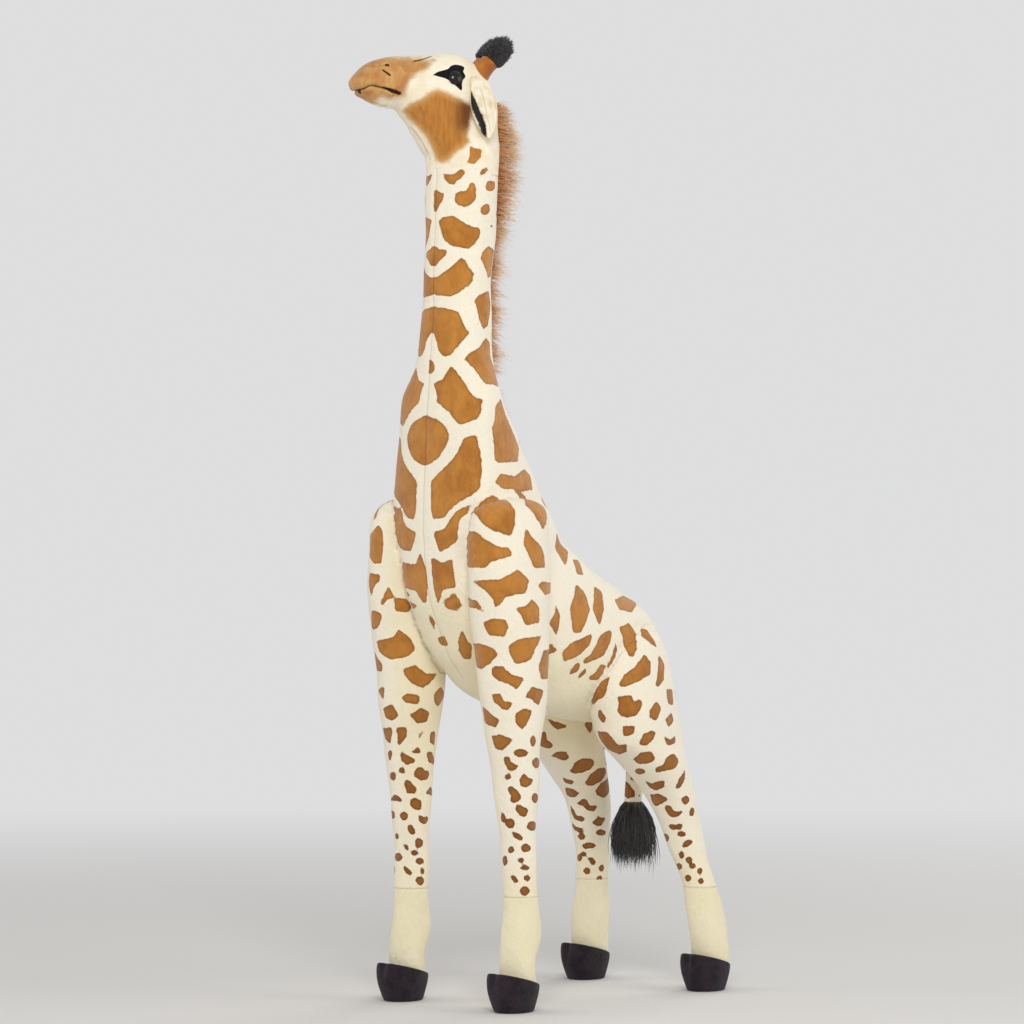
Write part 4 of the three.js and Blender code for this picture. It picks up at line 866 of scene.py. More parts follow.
HIND_LEFT_SPOTS = [
    (640, 771.5, 4.6, 2.6), (685.5, 800, 3.4, 3.8), (692, 812, 2, 4.4), (681.5, 834, 4.6, 2),
    (665.5, 838, 3.2, 4), (681.6, 855, 2, 3.4), (689, 860, 2.8, 3), (679, 866.6, 2.8, 2.8),
    (692.5, 866, 2.6, 2.2), (671.6, 870, 2.2, 2.6), (700, 871, 2.2, 3), (688, 878, 2.8, 2.8),
    (700.6, 881, 2.6, 2.4), (673, 881, 2, 4),
]
HIND_RIGHT_PATCHES = [
    [(546, 718.5), (555, 722), (566.5, 726.5), (557.5, 729)],
    [(541, 729), (546, 732), (545, 738), (553, 746), (548, 748), (541, 746)],
    [(587, 722), (590, 721.5), (592, 727), (590, 733), (585, 724)],
    [(552, 756), (557, 752), (565, 752), (569, 757), (564, 760), (556, 757)],
    [(571, 771), (575, 763), (582, 759), (590, 759), (594, 763), (590, 769), (582, 772), (573, 773)],
    [(586, 782), (590, 775), (598, 769), (605, 768), (608, 773), (602, 779), (593, 785), (587, 785)],
    [(596, 790), (601, 784), (610, 778), (613, 790), (605, 797), (598, 795)],
    [(563, 777), (568, 780), (574, 781), (572, 784), (565, 782)],
    [(566, 788), (572, 789), (579, 793), (574, 797), (567, 795)],
    [(577, 804), (583, 799), (587, 801), (588, 806), (597, 806), (593, 811), (587, 809), (582, 805)],
    [(571, 806), (574, 811), (576, 816), (584, 817), (583, 821), (575, 819), (572, 813)],
    [(593, 822), (599, 816), (600, 819), (605, 818), (602, 824), (597, 826)],
    [(571, 824), (576, 827), (584, 829), (582, 832), (574, 829)],
    [(582, 845), (589, 843), (596, 844), (594, 847), (585, 848)],
    [(587, 857), (592, 858), (596, 862), (593, 865), (590, 861)],
]
HIND_RIGHT_SPOTS = [
    (601, 832.5, 4.6, 2.4), (581.6, 836.5, 3.4, 2.6), (583.5, 854, 2.6, 1.8), (579.6, 858, 1.8, 3.2),
    (601.5, 868, 2.4, 3), (587, 871, 2.8, 3), (599.6, 878.6, 2.6, 2.8),
]
# The gap kept between patches, the height up to which the chest is drawn in full, and how far left of the
# middle the twins of the body's patches may start.
PATCH_GAP, CHEST_TWIN_FOOT, TWIN_START = 0.007, 0.59, 0.003
# Patches are this much wider all round below the first height, which ends at the second.
SPOT_SPREAD, SPREAD_FOOT, SPREAD_TOP = 0.0012, 0.5, 0.72
# A patch reaches no further than this past its outline, and only where the surface faces its way.
MARK_REACH, MARK_FACING = 0.03, 0.1
# Rounds of smoothing over the whole print.
PATCH_ROUNDS = 3
# On the sides that the photograph doesn't show. Each row: height, spacing of the cells, gap between them.
CELL_SIZES = np.array([
    [0.15, 0.015, 0.010], [0.3, 0.022, 0.011], [0.45, 0.032, 0.013], [0.6, 0.040, 0.014], [0.9, 0.036, 0.011],
    [1.2, 0.026, 0.010],
])
CELL_FOOT, CELL_TOP, CELL_CLEARANCE, CELL_WARP = 0.19, 1.2, 0.008, 0.006
CELL_SHOWN, CELL_OVERLAP, TWIN_OVERLAP, BODY_TWIN_OVERLAP = 0.2, 0.3, 0.15, 0.5


def pixels_of(points):
    """Where points show in the photographed view, in pixels, and how far off they are along it."""
    offset = points - CAMERA_PLACE
    depth = offset @ VIEW_AHEAD
    across, down = FOCAL_PIXELS * (offset @ VIEW_RIGHT) / depth, -FOCAL_PIXELS * (offset @ UP) / depth
    return PICTURE_MIDDLE + across, PICTURE_MIDDLE + down, depth


def seen_points(points, outwards, cell=3, slack=0.02, grazing=0.05):
    """True where a point faces the camera, or nearly, and nothing in its cell of the picture is nearer."""
    across, down, depth = pixels_of(points)
    key = (across // cell).astype(int) + PICTURE_SIZE * (down // cell).astype(int)
    nearest = np.full(key.max() + 1, np.inf)
    np.minimum.at(nearest, key, depth)
    return (outwards @ VIEW_AHEAD < grazing) & (depth < nearest[key] + slack)


def on_coat(tree, outline, jump=0.06):
    """Points of the coat under the points of an outline. One that misses, or that lands a jump nearer or
    further than the others, goes round the edge of the coat."""
    found = []
    for across, down in outline:
        way = VIEW_AHEAD + VIEW_RIGHT * (across - PICTURE_MIDDLE) / FOCAL_PIXELS
        way = way - UP * (down - PICTURE_MIDDLE) / FOCAL_PIXELS
        hit, _, _, far = tree.ray_cast(Vector(CAMERA_PLACE), Vector(way))
        found.append((way, hit, far))
    depths = [far for _, hit, far in found if hit]
    depth = np.median(depths) if depths else CAMERA_DISTANCE
    points = []
    for way, hit, far in found:
        if hit is None or abs(far - depth) > jump:
            aimed = CAMERA_PLACE + way / np.linalg.norm(way) * depth
            near = np.array(tree.find_nearest(Vector(aimed))[0])
            beside = aimed - near
            beside -= VIEW_AHEAD * (beside @ VIEW_AHEAD)
            points.append(near + VIEW_AHEAD * 2 * np.linalg.norm(beside))
        else:
            points.append(np.array(hit))
    return np.array(points)


def outline_distance(points, corners):
    """Signed distance from a flat outline, inside positive: the nearest edge, and how many are crossed."""
    start, end = corners, np.roll(corners, -1, 0)
    along = end - start
    offset = points[:, None] - start
    share = np.clip((offset * along).sum(-1) / np.maximum((along**2).sum(-1), 1e-12), 0, 1)
    gap = np.linalg.norm(offset - share[..., None] * along, axis=-1).min(1)
    (x, y), (x0, y0), (x1, y1) = points.T[:, :, None], start.T[:, None], end.T[:, None]
    over = (y0 > y) != (y1 > y)
    beyond = x < x0 + (y - y0) * (x1 - x0) / np.where(y1 == y0, 1e-12, y1 - y0)
    inside = (over & beyond).sum(1) % 2 == 1
    return np.where(inside, gap, -gap)


# Up, tipped a little so that it never runs along the normal of a level patch.
NEARLY_UP = UP + 0.01 * VIEW_RIGHT


def mark(points, outwards, corners, mirror=1):
    """Signed distance inside a patch whose corners lie on the coat, on the plane that touches its middle."""
    middle = corners.mean(0)
    flip = np.array([mirror, 1, 1])
    own = points * flip
    reach = np.linalg.norm(corners - middle, axis=1).max() + MARK_REACH
    near = np.flatnonzero(np.linalg.norm(own - middle, axis=1) < reach)
    value = np.full(len(points), -MARK_REACH)
    if not len(near):
        return value
    closest = near[np.linalg.norm(own[near] - middle, axis=1).argmin()]
    normal = outwards[closest] * flip
    side = unit(np.cross(NEARLY_UP, normal))
    up = np.cross(normal, side)
    near = near[(outwards[near] * flip) @ normal > MARK_FACING]
    flat = np.stack([(own[near] - middle) @ side, (own[near] - middle) @ up], -1)
    value[near] = outline_distance(flat, np.stack([(corners - middle) @ side, (corners - middle) @ up], -1))
    return value


def spot_outline(across, down, half_width, half_height, corners=8):
    angle = np.linspace(0, 2 * np.pi, corners, endpoint=False)
    return np.stack([across + half_width * np.cos(angle), down + half_height * np.sin(angle)], -1)


def scattered(points, spacing, rng, tries=6000):
    """Places picked at random from points, each kept if further than the spacing from those kept before."""
    kept = []
    for place in rng.permutation(len(points))[:tries]:
        if all(np.linalg.norm(points[place] - points[kept], axis=1) > spacing[place]) if kept else True:
            kept.append(place)
    return np.array(kept)


def cells(points, sites, gap, batch=8000):
    """Half the difference between the distances to the nearest two sites, less half the gap, which is
    positive in a cell, and the number of the nearest site."""
    value, owner = np.empty(len(points)), np.empty(len(points), int)
    gap = np.broadcast_to(gap, len(points))
    for start in range(0, len(points), batch):
        part = slice(start, start + batch)
        distance = np.linalg.norm(points[part][:, None] - sites, axis=2)
        order = np.argpartition(distance, 1, axis=1)[:, :2]
        nearest = np.take_along_axis(distance, order, 1)
        value[part] = (nearest[:, 1] - nearest[:, 0] - gap[part]) / 2
        owner[part] = order[:, 0]
    return value, owner


def on_own_skins(tree, corners):
    """True for points on the skins that a patch lies on: those that hold a quarter of its corners or more."""
    nearest = [tree.find_nearest(Vector(corner))[2] for corner in corners]
    skins, counts = np.unique(coat_skin[coat_quads[nearest, 0]], return_counts=True)
    return np.isin(coat_skin, skins[counts * 4 >= len(corners)])


def patch_field(points, quads, outwards):
    """Distance inside the printed patches: those that the photograph shows, the same on the side it doesn't
    show, and cells of like size where neither reaches."""
    tree = BVHTree.FromPolygons(points.tolist(), quads.tolist())
    body = NECK_PATCHES + CHEST_PATCHES + FLANK_PATCHES
    limbs = FRONT_LEFT_PATCHES + FRONT_RIGHT_PATCHES + HIND_LEFT_PATCHES + HIND_RIGHT_PATCHES
    spots = FRONT_LEFT_SPOTS + FRONT_RIGHT_SPOTS + HIND_LEFT_SPOTS + HIND_RIGHT_SPOTS
    body = [on_coat(tree, outline) for outline in body]
    limbs = [on_coat(tree, outline) for outline in limbs + [spot_outline(*spot) for spot in spots]]
    seen = seen_points(points, outwards)

    def printed(corners, mirror):
        value = mark(points, outwards, corners, mirror)
        value[~on_own_skins(tree, corners * [mirror, 1, 1])] = -MARK_REACH
        return value

    on_body, on_limbs = (np.max([printed(corners, 1) for corners in group], 0) for group in (body, limbs))
    field = np.maximum(on_body, on_limbs)
    drawn_in_full = seen & ((coat_skin > 0) | (points[:, 2] < CHEST_TWIN_FOOT))
    for corners in body:
        value = np.minimum(printed(corners, -1), -on_limbs - PATCH_GAP)
        value[(points[:, 0] > TWIN_START) | drawn_in_full] = -MARK_REACH
        taken = (on_body > -PATCH_GAP)[value > 0]
        if len(taken) and taken.mean() < BODY_TWIN_OVERLAP:
            field = np.maximum(field, value)
    for corners in limbs:
        value = printed(corners, -1)
        taken = (seen | (field > -PATCH_GAP))[value > 0]
        if len(taken) and taken.mean() < TWIN_OVERLAP:
            field = np.maximum(field, np.minimum(value, -field - PATCH_GAP))
    kept_clear = seen | (belly_share > 0.5) | (points[:, 2] > CELL_TOP)
    free = np.flatnonzero(~kept_clear & (field < -CELL_CLEARANCE) & (points[:, 2] > CELL_FOOT))
    rng = np.random.default_rng(4)
    size = np.interp(points[:, 2], *CELL_SIZES.T[:2])
    sites = points[free[scattered(points[free], size[free], rng)]]
    warp = CELL_WARP * np.sin(points[:, [1, 2, 0]] * 70 + 3 * np.sin(points[:, [2, 0, 1]] * 43))
    filled, owner = cells(points + warp, sites, np.interp(points[:, 2], *CELL_SIZES.T[[0, 2]]))
    inside, count = filled > 0, len(sites)
    area = np.maximum(np.bincount(owner[inside], minlength=count), 1)
    for blocked, most in ((kept_clear, CELL_SHOWN), (field > -PATCH_GAP, CELL_OVERLAP)):
        share = np.bincount(owner[inside & blocked], minlength=count) / area
        filled[(share > most)[owner]] = -MARK_REACH
    field = np.maximum(field, np.minimum(filled, -field - PATCH_GAP))
    field = relaxed(column(np.maximum(field, -PATCH_GAP), 0, 0), quads, PATCH_ROUNDS, 1.0)[:, 0]
    return field + np.interp(points[:, 2], [SPREAD_FOOT, SPREAD_TOP], [SPOT_SPREAD, 0])


spotted = spotted_plush()
sock_plush = plain_plush("sock_plush", SOCK_CREAM, colour(244, 234, 196), 12)
coat_patch = patch_field(coat_points, coat_quads, coat_out)
body_points, body_faces, kept = capped(coat_points, coat_quads, quad_label, 0)
coat_marks = {"patch": coat_patch, "under": coat_under, "seam": chest_seam}
hub_marks = np.zeros(MOST_HUBS)
body_marks = {key: np.append(values, hub_marks)[kept] for key, values in coat_marks.items()}
body_coat = new_piece("body_coat", body_points, body_faces, spotted, body_marks)
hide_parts("torso", "neck_lower", "neck_top")
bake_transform(body_coat)
for number, (end, side, leg, mirror) in enumerate(LIMBS):
    for title, label, material, slot in (
        ("leg", number + 1, spotted, "spotted_plush"),
        ("sock", number + 1 + len(LIMBS), sock_plush, "cream_plush"),
    ):
        leg_points, leg_faces, kept = capped(coat_points, coat_quads, quad_label, label)
        leg_marks = {key: np.append(values, hub_marks)[kept] for key, values in coat_marks.items()}
        piece = new_piece(f"{title}_coat_{end}_{side}", leg_points, leg_faces, material, leg_marks)
        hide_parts(f"{title}_{end}_{side}")
        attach(piece, "torso")

# The head. A firmly stuffed plush head sewn to the top of the neck, with its muzzle as a separate darker
# piece sewn on across the middle of the face, and its markings brushed on with dye.
HEAD_LENGTH, HEAD_HEIGHT, HEAD_HALF_WIDTH = 0.169, 0.153, 0.051
HEAD_TURN = np.radians(-29)
# Each row: top forward and up, bottom forward and up, half width.
HEAD_SHARES = [
    [-0.32, 0, 0.297, 0, 0.97],
    [-0.308, 0.281, 0.349, 0.065, 0.98],
    [-0.291, 0.562, 0.419, 0.183, 1],
    [-0.174, 0.824, 0.477, 0.301, 0.98],
    [0, 0.967, 0.54, 0.38, 0.94],
    [0.174, 1, 0.585, 0.44, 0.88],
    [0.36, 0.976, 0.625, 0.46, 0.76],
    [0.535, 0.955, 0.69, 0.462, 0.66],
    [0.71, 0.93, 0.775, 0.488, 0.61],
    [0.855, 0.872, 0.87, 0.535, 0.56],
    [0.945, 0.79, 0.935, 0.59, 0.44],
    [1, 0.715, 0.993, 0.665, 0.13],
]
MUZZLE_SEAM_ROW = 7
HEAD_SIDE_STEPS, HEAD_SIDE_TILT = 10, np.radians(3)
HEAD_STEPS, HEAD_SIDES, HEAD_ROUNDS, COLLAR_RINGS = 8, 80, 8, 24
HEAD_VOXEL = 0.0016
HEAD_SWELL, HEAD_SWELL_SCALE = 0.0010, 1.6
NECK_SEAM, COLLAR_TUCK, COLLAR_TUCK_WIDTH = 1.199, 0.0015, 0.012
MUZZLE_SEAM_DEPTH, MUZZLE_SEAM_WIDTH = 0.0012, 0.003
MOUTH_SHARES = [[1.09, 0.6], [0.93, 0.615], [0.86, 0.65], [0.785, 0.637], [0.72, 0.625], [0.61, 0.585]]
MOUTH_DEPTH, MOUTH_WIDTH, LIP_SWELL, LIP_REACH = 0.0035, 0.0016, 0.0016, 0.005
NOSTRIL_DEPTH, NOSTRIL_WIDTH = 0.0022, 0.0022
# Ahead of this place, forward and up, the muzzle is dyed all over.
NOSE_START = (0.72, 0.7)
# Half the width of the drawn lines and of the painted shade at the front end of the mouth, past which they
# fade out. The line of the mouth widens by its bulge, at the bulge's place from the corner of the mouth, over
# the bulge's reach.
LINE_HALF, NOSTRIL_TOP_HALF, MOUTH_FRONT_SHADE_HALF = 0.0002, 0.0010, 0.0016
MOUTH_THIN, MOUTH_BULGE, BULGE_PLACE, BULGE_REACH = 0.0004, 0.0020, 0.009, 0.012
# How far the painted shade on the cheek beside the ear reaches.
EAR_SHADE_REACH = 0.016
# Markings, and the places where shade is painted beside the ear and at the front end of the mouth, in pixels
# of the photographed view.
CHEEK = [
    (404, 107), (411, 102), (421, 98), (430, 91), (438, 88), (448, 92), (460, 98), (469, 103),
    (473, 107), (472, 117), (470, 128), (469, 136), (471, 142), (465, 148), (455, 155), (449, 162),
    (441, 164), (435, 161), (432, 150), (427, 140), (419, 130), (409, 120), (402, 112),
]
NOSE = [
    (346, 84), (349, 72), (360, 64), (372, 61), (384, 58), (400, 58), (420, 58), (433, 60), (424, 70),
    (413, 78), (406, 86), (405, 96), (398, 100), (390, 97), (378, 97), (366, 96), (356, 95),
]
BRIDGE = [(414, 61), (420, 60), (426, 58), (431, 56)]
JAW_LINE = [(368, 99.5), (376, 103.5), (386, 106.5)]
NOSE_LINE = [(365, 66.5), (374, 66.5), (383, 66)]
# The next is painted shade: a dark spot at the front end of the mouth, where the lips part.
MOUTH_FRONT_SHADE = [(358, 91), (360, 92)]
NOSTRIL = [(383, 70), (386, 72), (390, 75)]
NOSTRIL_TOP = [(386, 65), (388, 65)]
THROAT_LINE = [(411, 127), (416, 133), (422, 142), (427, 151), (430, 159)]
# Painted shade: the cheek darkens towards this line, beside the ear that hangs over it.
EAR_SHADE = [(466, 108), (467, 122)]
# So many of the neck's patches, the highest ones, reach up onto the head.
HEAD_PATCHES = 6


def faced(points):
    """Points of a head that looks straight ahead, turned with it about the neck's line and put in place."""
    cos, sin = np.cos(HEAD_TURN), np.sin(HEAD_TURN)
    return points @ np.array([[cos, sin, 0], [-sin, cos, 0], [0, 0, 1]]) + NECK_LINE


def unfaced(points):
    """Points in place, turned back to the head that looks straight ahead."""
    cos, sin = np.cos(HEAD_TURN), np.sin(HEAD_TURN)
    return (points - NECK_LINE) @ np.array([[cos, -sin, 0], [sin, cos, 0], [0, 0, 1]])


def head_point(forward, up):
    return column(0, -np.asarray(forward) * HEAD_LENGTH, NECK_TOP + np.asarray(up) * HEAD_HEIGHT)


def head_rings(rows):
    """Middle, half height and half width of each ring, where a ring runs from the brow to the jaw."""
    top_forward, top_up, bottom_forward, bottom_up, width = np.asarray(rows).T
    top, bottom = head_point(top_forward, top_up), head_point(bottom_forward, bottom_up)
    return (top + bottom) / 2, (top - bottom) / 2, width * HEAD_HALF_WIDTH


def head_form():
    """Ellipses that fan round from the neck to the nose."""
    centre, lift, width = head_rings(smoothed(HEAD_SHARES, HEAD_STEPS))
    return closed(ring_grid(centre, column(width, 0, 0), lift, -lift, HEAD_SIDES))


def collar_form():
    """The top of the neck, from just below the head's seam up into the head."""
    height, front, back, widest, width = (row[-COLLAR_RINGS:] for row in neck_rows())
    centre = column(0, widest, height)
    side, ahead, behind = column(width, 0, 0), column(0, front - widest, 0), column(0, back - widest, 0)
    return closed(ring_grid(centre, side, behind, ahead, HEAD_SIDES))


def head_side(row, angle):
    """A point on the left of the head, by a row of its table and an angle up its ring, and the way out."""
    centre, lift, width = head_rings(smoothed(HEAD_SHARES, HEAD_SIDE_STEPS))
    step = round(row * HEAD_SIDE_STEPS)

    def point(ring, around):
        return centre[ring] + np.array([width[ring] * np.cos(around), 0, 0]) + lift[ring] * np.sin(around)

    along = point(step + 1, angle) - point(step - 1, angle)
    up = point(step, angle + HEAD_SIDE_TILT) - point(step, angle - HEAD_SIDE_TILT)
    return point(step, angle), unit(np.cross(up, along))


def path_distance(points, path):
    """How far points are from a path of straight stretches: the nearest place on the nearest stretch."""
    best = np.full(len(points), np.inf)
    for start, end in zip(path[:-1], path[1:]):
        share = np.clip((points - start) @ (end - start) / ((end - start) @ (end - start)), 0, 1)
        best = np.minimum(best, np.linalg.norm(points - start - share[:, None] * (end - start), axis=1))
    return best


def outline_on_head(outline):
    return unfaced(on_coat(head_tree, outline))


def painted(outline):
    """Distance inside a marking of the head, which has the same one on its other side."""
    corners = outline_on_head(outline)
    return np.maximum(mark(bare_head, bare_out, corners), mark(bare_head, bare_out, corners, -1))


def stroked(line):
    """Distance from a line drawn on the head and on its other side."""
    path = outline_on_head(line)
    return np.minimum(path_distance(bare_head, path), path_distance(bare_head * [-1, 1, 1], path))


bare_head, head_quads = merged([head_form(), collar_form()], HEAD_VOXEL)
bare_head = relaxed(bare_head, head_quads, HEAD_ROUNDS, 1.0)
bare_out = normals_of(bare_head, head_quads)
head_tree = BVHTree.FromPolygons(faced(bare_head).tolist(), head_quads.tolist())
seam_middle, seam_lift, _ = (part[0] for part in head_rings([HEAD_SHARES[MUZZLE_SEAM_ROW]]))
seam_ahead = unit(np.array([0, -seam_lift[2], seam_lift[1]]))
head_ahead = (bare_head - seam_middle) @ seam_ahead
mouth_gap = path_distance(bare_head * [0, 1, 1], smoothed(head_point(*np.array(MOUTH_SHARES).T), 6))
corner_gap = np.linalg.norm(bare_head * [0, 1, 1] - head_point(*MOUTH_SHARES[-1]), axis=1)
nostril_gap = np.minimum(stroked(NOSTRIL), stroked(NOSTRIL_TOP))
mouth_bulge = MOUTH_BULGE * np.exp(-(((corner_gap - BULGE_PLACE) / BULGE_REACH) ** 2))
head_paint = {
    "patch": np.max([painted(outline) for outline in NECK_PATCHES[:HEAD_PATCHES]], 0),
    "cheek": painted(CHEEK),
    "nose": np.maximum(painted(NOSE), (bare_head - head_point(*NOSE_START)) @ seam_ahead),
    # Painted shade on the cheek beside the ear.
    "dark": np.exp(-((stroked(EAR_SHADE) / EAR_SHADE_REACH) ** 2)),
    # With the drawn lines goes the painted shade at the front end of the mouth.
    "line": np.min([
        stroked(BRIDGE) - LINE_HALF, stroked(MOUTH_FRONT_SHADE) - MOUTH_FRONT_SHADE_HALF,
        stroked(NOSTRIL_TOP) - NOSTRIL_TOP_HALF, stroked(NOSTRIL) - LINE_HALF,
        mouth_gap + MOUTH_THIN - mouth_bulge,
    ], 0),
    "throat": np.min([stroked(line) for line in (THROAT_LINE, JAW_LINE, NOSE_LINE)], 0),
}
head_shift = LIP_SWELL * np.exp(-(((mouth_gap - LIP_REACH) / LIP_REACH) ** 2)) * (head_ahead > 0)
head_shift -= MOUTH_DEPTH * np.exp(-((mouth_gap / MOUTH_WIDTH) ** 2))
head_shift -= NOSTRIL_DEPTH * np.exp(-((nostril_gap / NOSTRIL_WIDTH) ** 2))
head_shift -= MUZZLE_SEAM_DEPTH * np.exp(-((head_ahead / MUZZLE_SEAM_WIDTH) ** 2))
head_shift += HEAD_SWELL * swells(bare_head * HEAD_SWELL_SCALE)
head_shift -= COLLAR_TUCK * np.exp(-(((bare_head[:, 2] - NECK_SEAM) / COLLAR_TUCK_WIDTH) ** 2))
head_points = faced(bare_head + bare_out * head_shift[:, None])
head_label = np.where(head_ahead > 0, 1, 0)
head_label[head_points[:, 2] < NECK_SEAM] = CUT_AWAY
head_quad_label = head_label[head_quads].min(1)


def face_plush():
    """Cream plush with the cheeks and the muzzle dyed tan, softly at their edges, and the nostrils, the mouth
    and a line down the bridge of the nose drawn dark. Painted shade darkens the cheeks beside the ears and
    the front end of the mouth."""
    finish = Finish("face_plush")
    place = finish.place()
    ragged = (finish.noise(place, 150, 4.0, 0.65) - 0.5) * 0.006
    wide = (finish.noise(place, 38, 3.0, 0.6) - 0.5) * 0.022
    cloud = finish.noise(place, 42, 4.0, 0.6).rise(0.36, 0.68)
    streak = finish.noise(finish.stretched(place, (1, 1, 0.25)), 190, 3.0, 0.6).rise(0.3, 0.75)
    cream = finish.mixed(CREAM, colour(244, 226, 184), cloud * 0.6)
    tan = finish.mixed(colour(200, 136, 62), colour(172, 106, 44), streak * 0.75)
    cheek = finish.attribute("cheek") + ragged + wide * 0.12
    cheek_tan = finish.mixed(tan, colour(226, 178, 112), (1 - cheek.rise(0.001, 0.013)) * 0.65)
    # Painted shade: the cheek darkens beside the ear that hangs over it.
    cheek_tan = finish.mixed(cheek_tan, colour(104, 56, 26), finish.attribute("dark") * 0.9)
    nose_tan = finish.mixed(colour(190, 124, 54), colour(222, 174, 104), cloud * 0.85)
    nose_tan = finish.mixed(nose_tan, colour(168, 102, 44), streak * 0.35)
    patches = (finish.attribute("patch") + ragged * 0.6).rise(-0.0006, 0.0006)
    cheeks = cheek.rise(-0.003, 0.005)
    nose = (finish.attribute("nose") + wide).rise(-0.007, 0.006)
    throat = 1 - (finish.attribute("throat") + ragged * 0.3).rise(0.0004, 0.0022)
    # The line mask also carries the painted shade at the front end of the mouth.
    line = 1 - (finish.attribute("line") + ragged * 0.12).rise(0.0006, 0.0019)
    shade = finish.mixed(cream, nose_tan, nose * 0.95)
    shade = finish.mixed(shade, cheek_tan, cheeks)
    shade = finish.mixed(shade, tan, patches)
    shade = finish.mixed(shade, colour(176, 120, 66), throat * 0.6)
    shade = finish.mixed(shade, colour(52, 28, 16), line)
    return pile_surface(finish, place, shade, SHORT_PILE, 0.9)


dyed_plush = face_plush()
for name, label, node, slot in (
    ("head_coat", 0, "head", "spotted_plush"),
    ("muzzle_coat", 1, "muzzle", "tan_plush"),
):
    piece_points, piece_faces, kept = capped(head_points, head_quads, head_quad_label, label)
    hub_paint = np.full(MOST_HUBS, MARK_REACH)
    paint = {title: np.append(values, hub_paint)[kept] for title, values in head_paint.items()}
    piece = new_piece(name, piece_points, piece_faces, dyed_plush, paint)
    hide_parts(node)
    if label == 0:
        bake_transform(piece)
    else:
        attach(piece, "head")

# The eyes. Domed dark plastic as clear as glass, on a stem that is pushed through a black felt almond sewn to
# the face, and held behind by a washer.
EYE_RADIUS, EYE_BULGE, EYE_EDGE, EYE_SUNK = 0.0105, 0.0055, 0.0012, 0.004
EYE_ROW, EYE_ANGLE, EYE_SIDES, EYE_STEPS = 3.7, np.radians(17.5), 48, 12
# The stem's radius as a share of the eye's, the dome's lowest ring as an angle, and the radius of the rings
# at the two poles, which closed() draws together.
EYE_STEM, DOME_START, STEM_POLE, DOME_POLE = 0.9, 0.05, 0.0005, 0.0002
FELT_THICKNESS = 0.0012
# Each pair: the share of the outline's size, the lift in thicknesses of the felt.
FELT_RINGS = [
    (0.02, 0), (1, 0), (1, 0.7), (0.95, 1), (0.8, 1.1), (0.6, 1.1), (0.4, 1.1), (0.2, 1.1), (0.02, 1.1),
]
# The outline of the almond, in pixels of the photographed view.
FELT = [
    (433, 75.2), (438, 72), (444, 70.3), (448, 69), (451, 66.2), (455, 65), (461, 66), (464, 68), (463, 72),
    (465.2, 76.5), (462.8, 80), (461.8, 84), (461.5, 90.5), (457, 87), (452, 82.5), (446, 79), (439, 76.8),
]
# A way that none of the turned forms' axes runs along.
SLANTED = np.array([0, 0.3, 1.0])


def turned_form(profile, origin, axis, sides):
    """A profile of radius and height turned about an axis through the origin."""
    profile = np.asarray(profile)
    side = unit(np.cross(axis, SLANTED))
    up = np.cross(axis, side)
    centre = origin + profile[:, 1:] * axis
    return closed(ring_grid(centre, profile[:, :1] * side, profile[:, :1] * up, -profile[:, :1] * up, sides))


def felt_form(corners, mirror):
    """A felt almond on the face: its outline rounded off, drawn towards its middle ring by ring, laid on the
    head and lifted by the felt's thickness, with its back sunk into the pile."""
    edge = smoothed(np.vstack([corners, corners[:1]]), 4)[:-1]
    middle = edge.mean(0)
    rings = []
    for share, lift in FELT_RINGS:
        ring = middle + (edge - middle) * share
        nearest = np.linalg.norm(ring[:, None] - bare_head, axis=2).argmin(1)
        out = bare_out[nearest]
        ring = ring - ((ring - bare_head[nearest]) * out).sum(1)[:, None] * out
        rings.append(ring + out * (lift * FELT_THICKNESS))
    return closed(np.array(rings) * [mirror, 1, 1])


def eye_gloss():
    """Dark plastic clouded from near black to dark brown, under a clear shine."""
    finish = Finish("eye_gloss")
    cloud = finish.noise(finish.place(), 180, 2.0).rise(0.3, 0.7)
    shade = finish.mixed(colour(13, 8, 6), colour(30, 17, 11), cloud)
    shine = {"Coat Weight": 1.0, "Coat Roughness": 0.02, "Coat IOR": 1.42, "Specular IOR Level": 0.0}
    return finish.surface({"Base Color": shade, "Roughness": 0.3, **shine})


def black_felt():
    """Black felt: matted fibres that catch a little light."""
    finish = Finish("black_felt")
    fibres = finish.noise(finish.place(), 900, 4.0, 0.7)
    shade = finish.mixed(colour(15, 12, 13), colour(50, 46, 48), fibres.rise(0.42, 0.8))
    sockets = {"Base Color": shade, "Roughness": 0.95, "Normal": finish.bump(fibres, 0.0006)}
    return finish.surface({**sockets, "Specular IOR Level": 0.2})


eye_plastic, felt = eye_gloss(), black_felt()
felt_corners = outline_on_head(FELT)
for side, mirror in SIDES.items():
    flip = np.array([mirror, 1, 1])
    patch_points, patch_faces = felt_form(felt_corners, mirror)
    patch = new_piece(f"eye_felt_{side}", faced(patch_points), patch_faces, felt)
    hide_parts(f"eye_patch_{side}")
    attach(patch, "head")
    place, out = head_side(EYE_ROW, EYE_ANGLE)
    turn = np.linspace(DOME_START, np.pi / 2, EYE_STEPS)
    stem = [[STEM_POLE, -EYE_SUNK], [EYE_RADIUS * EYE_STEM, -EYE_SUNK]]
    rim = [[EYE_RADIUS, -EYE_EDGE], [EYE_RADIUS, 0]]
    dome = column(EYE_RADIUS * np.cos(turn), EYE_EDGE + EYE_BULGE * np.sin(turn)).tolist()
    dome[-1][0] = DOME_POLE
    eye_points, eye_faces = turned_form(stem + rim + dome, place * flip, out * flip, EYE_SIDES)
    eye = new_piece(f"eye_dome_{side}", faced(eye_points), eye_faces, eye_plastic)
    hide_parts(f"eye_{side}")
    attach(eye, "head")

